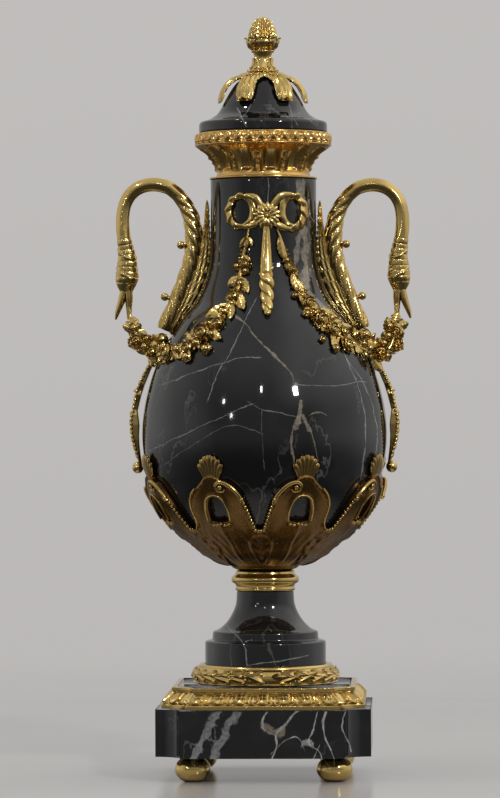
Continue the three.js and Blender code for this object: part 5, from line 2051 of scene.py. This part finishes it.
@dataclass
class Stage:
    """The floor, the light and the camera."""

    distance: float = 3.2
    eye_height: float = 0.287
    azimuth: float = 2.0
    roll: float = -0.27
    lens: float = 193.76
    aim: tuple[float, float] = (-0.0107, 0.2803)
    sensor: float = 36.0
    floor_radius: float = 1.7
    floor_sides: int = 96
    floor_drop: float = 0.00002
    paper: tuple[float, float, float, float] = (0.5, 0.485, 0.475, 1.0)
    daylight: tuple[float, float, float, float] = (1.0, 0.985, 0.97, 1.0)

    def camera(self) -> None:
        """Sets the camera, far off, aimed a little beside the urn's middle."""
        data = bpy.data.cameras.new("camera")
        data.sensor_width = self.sensor
        data.lens = self.lens
        data.clip_end = 100
        eye = bpy.data.objects.new("camera", data)
        a = math.radians(self.azimuth)
        eye.location = (math.sin(a) * self.distance, -math.cos(a) * self.distance, self.eye_height)
        target = Vector((math.cos(a) * self.aim[0], math.sin(a) * self.aim[0], self.aim[1]))
        look = (target - eye.location).to_track_quat("-Z", "Y")
        tilt = Matrix.Rotation(math.radians(self.roll), 4, "Z")
        eye.rotation_euler = (look.to_matrix().to_4x4() @ tilt).to_euler()
        bpy.context.scene.collection.objects.link(eye)
        bpy.context.scene.camera = eye

    def floor(self) -> None:
        """Lays a round pale floor that fades out far from the urn."""
        mesh = bpy.data.meshes.new("floor")
        turns = np.linspace(0, -2 * math.pi, self.floor_sides + 1)[:-1]
        radius, drop = self.floor_radius, self.floor_drop
        ring = [(radius * math.sin(a), radius * math.cos(a), -drop) for a in turns]
        mesh.from_pydata(ring, [], [tuple(range(self.floor_sides))])
        floor = bpy.data.objects.new("floor", mesh)
        bpy.context.scene.collection.objects.link(floor)
        made = bpy.data.materials.new("pale_floor")
        graph = Graph(made)
        shader = graph.node("BsdfPrincipled")
        place = graph.place()
        tone = graph.remap(graph.noise(place, 3.0, 2.0).outputs[0], 0.3, 0.7)
        colour = graph.mix(tone, (0.5, 0.485, 0.47, 1), (0.54, 0.525, 0.51, 1))
        graph.feed(shader.inputs["Base Color"], colour)
        shader.inputs["Roughness"].default_value = 0.18
        away = graph.node("VectorMath", place, operation="LENGTH").outputs["Value"]
        seen = graph.node("LightPath").outputs["Is Camera Ray"]
        alpha = graph.mix(seen, graph.remap(away, 0.35, 0.16), graph.remap(away, 1.6, 0.5))
        graph.feed(shader.inputs["Alpha"], alpha)
        graph.feed(graph.node("OutputMaterial").inputs[0], shader.outputs[0])
        mesh.materials.append(made)

    def light(self) -> None:
        """Sets the soft surroundings and the small bright lamps."""
        world = bpy.data.worlds.new("studio")
        bpy.context.scene.world = world
        bpy.context.scene.view_settings.view_transform = "Standard"
        graph = Graph(world)
        around = graph.node("SeparateXYZ", graph.node("TexCoord").outputs["Generated"])
        x, y, z = around.outputs
        sideways = graph.math("ABSOLUTE", x)
        glows = (
            graph.remap(y, -0.2, 0.75, 0.25, 0.5),
            graph.remap(sideways, 0.66, 1.0, 0.0, 0.32),
            graph.remap(z, 0.3, 0.8, 0.0, 0.3),
            graph.math("MULTIPLY", graph.remap(x, 0.1, 0.55, 0.0, 0.4), graph.remap(z, 0.2, 0.5)),
        )
        total = glows[0]
        for glow in glows[1:]:
            total = graph.math("ADD", total, glow)
        low = graph.remap(z, -0.35, 0.05, 0.2, 1.0)
        studio = graph.node("Background", self.daylight)
        graph.feed(studio.inputs[1], graph.math("MULTIPLY", total, low))
        paper = graph.node("Background", self.paper)
        graph.feed(paper.inputs[1], graph.remap(z, -0.06, 0.1, 1.0, 1.06))
        share = graph.node("MixShader")
        graph.feed(share.inputs[0], graph.node("LightPath").outputs["Is Camera Ray"])
        graph.feed(share.inputs[1], studio.outputs[0])
        graph.feed(share.inputs[2], paper.outputs[0])
        graph.feed(graph.node("OutputWorld").inputs[0], share.outputs[0])
        target = Vector((0, 0, 0.28))
        lamps = (
            Lamp(34, 27, 2.4, (0.17, 0.17), 16), Lamp(-38, 21, 2.4, (0.05, 0.08), 1.3),
            Lamp(-29, 12, 2.4, (0.04, 0.1), 0.9),
            Lamp(-1, 29, 2.4, (0.05, 0.12), 1.3), Lamp(-70, 60, 2.2, (0.12, 0.12), 4),
        )
        for index, lamp in enumerate(lamps):
            lamp.hang(index, target)

    def build(self) -> None:
        """Sets up everything round the urn."""
        self.camera()
        self.floor()
        self.light()


def main() -> None:
    """Builds the stage and the urn's sub-assemblies, from the feet up, and logs each one as it is built."""
    logging.basicConfig(level=logging.INFO, format="%(message)s")
    for assembly in (
        Stage(), Base(), Stem(), Vessel(), LeafCup(), Collar(), Lid(), Bow(), Garlands(), SwanHandle(),
        Strap(),
    ):
        assembly.build()
        LOG.info("built %s", type(assembly).__name__)


if __name__ == "__main__":
    main()
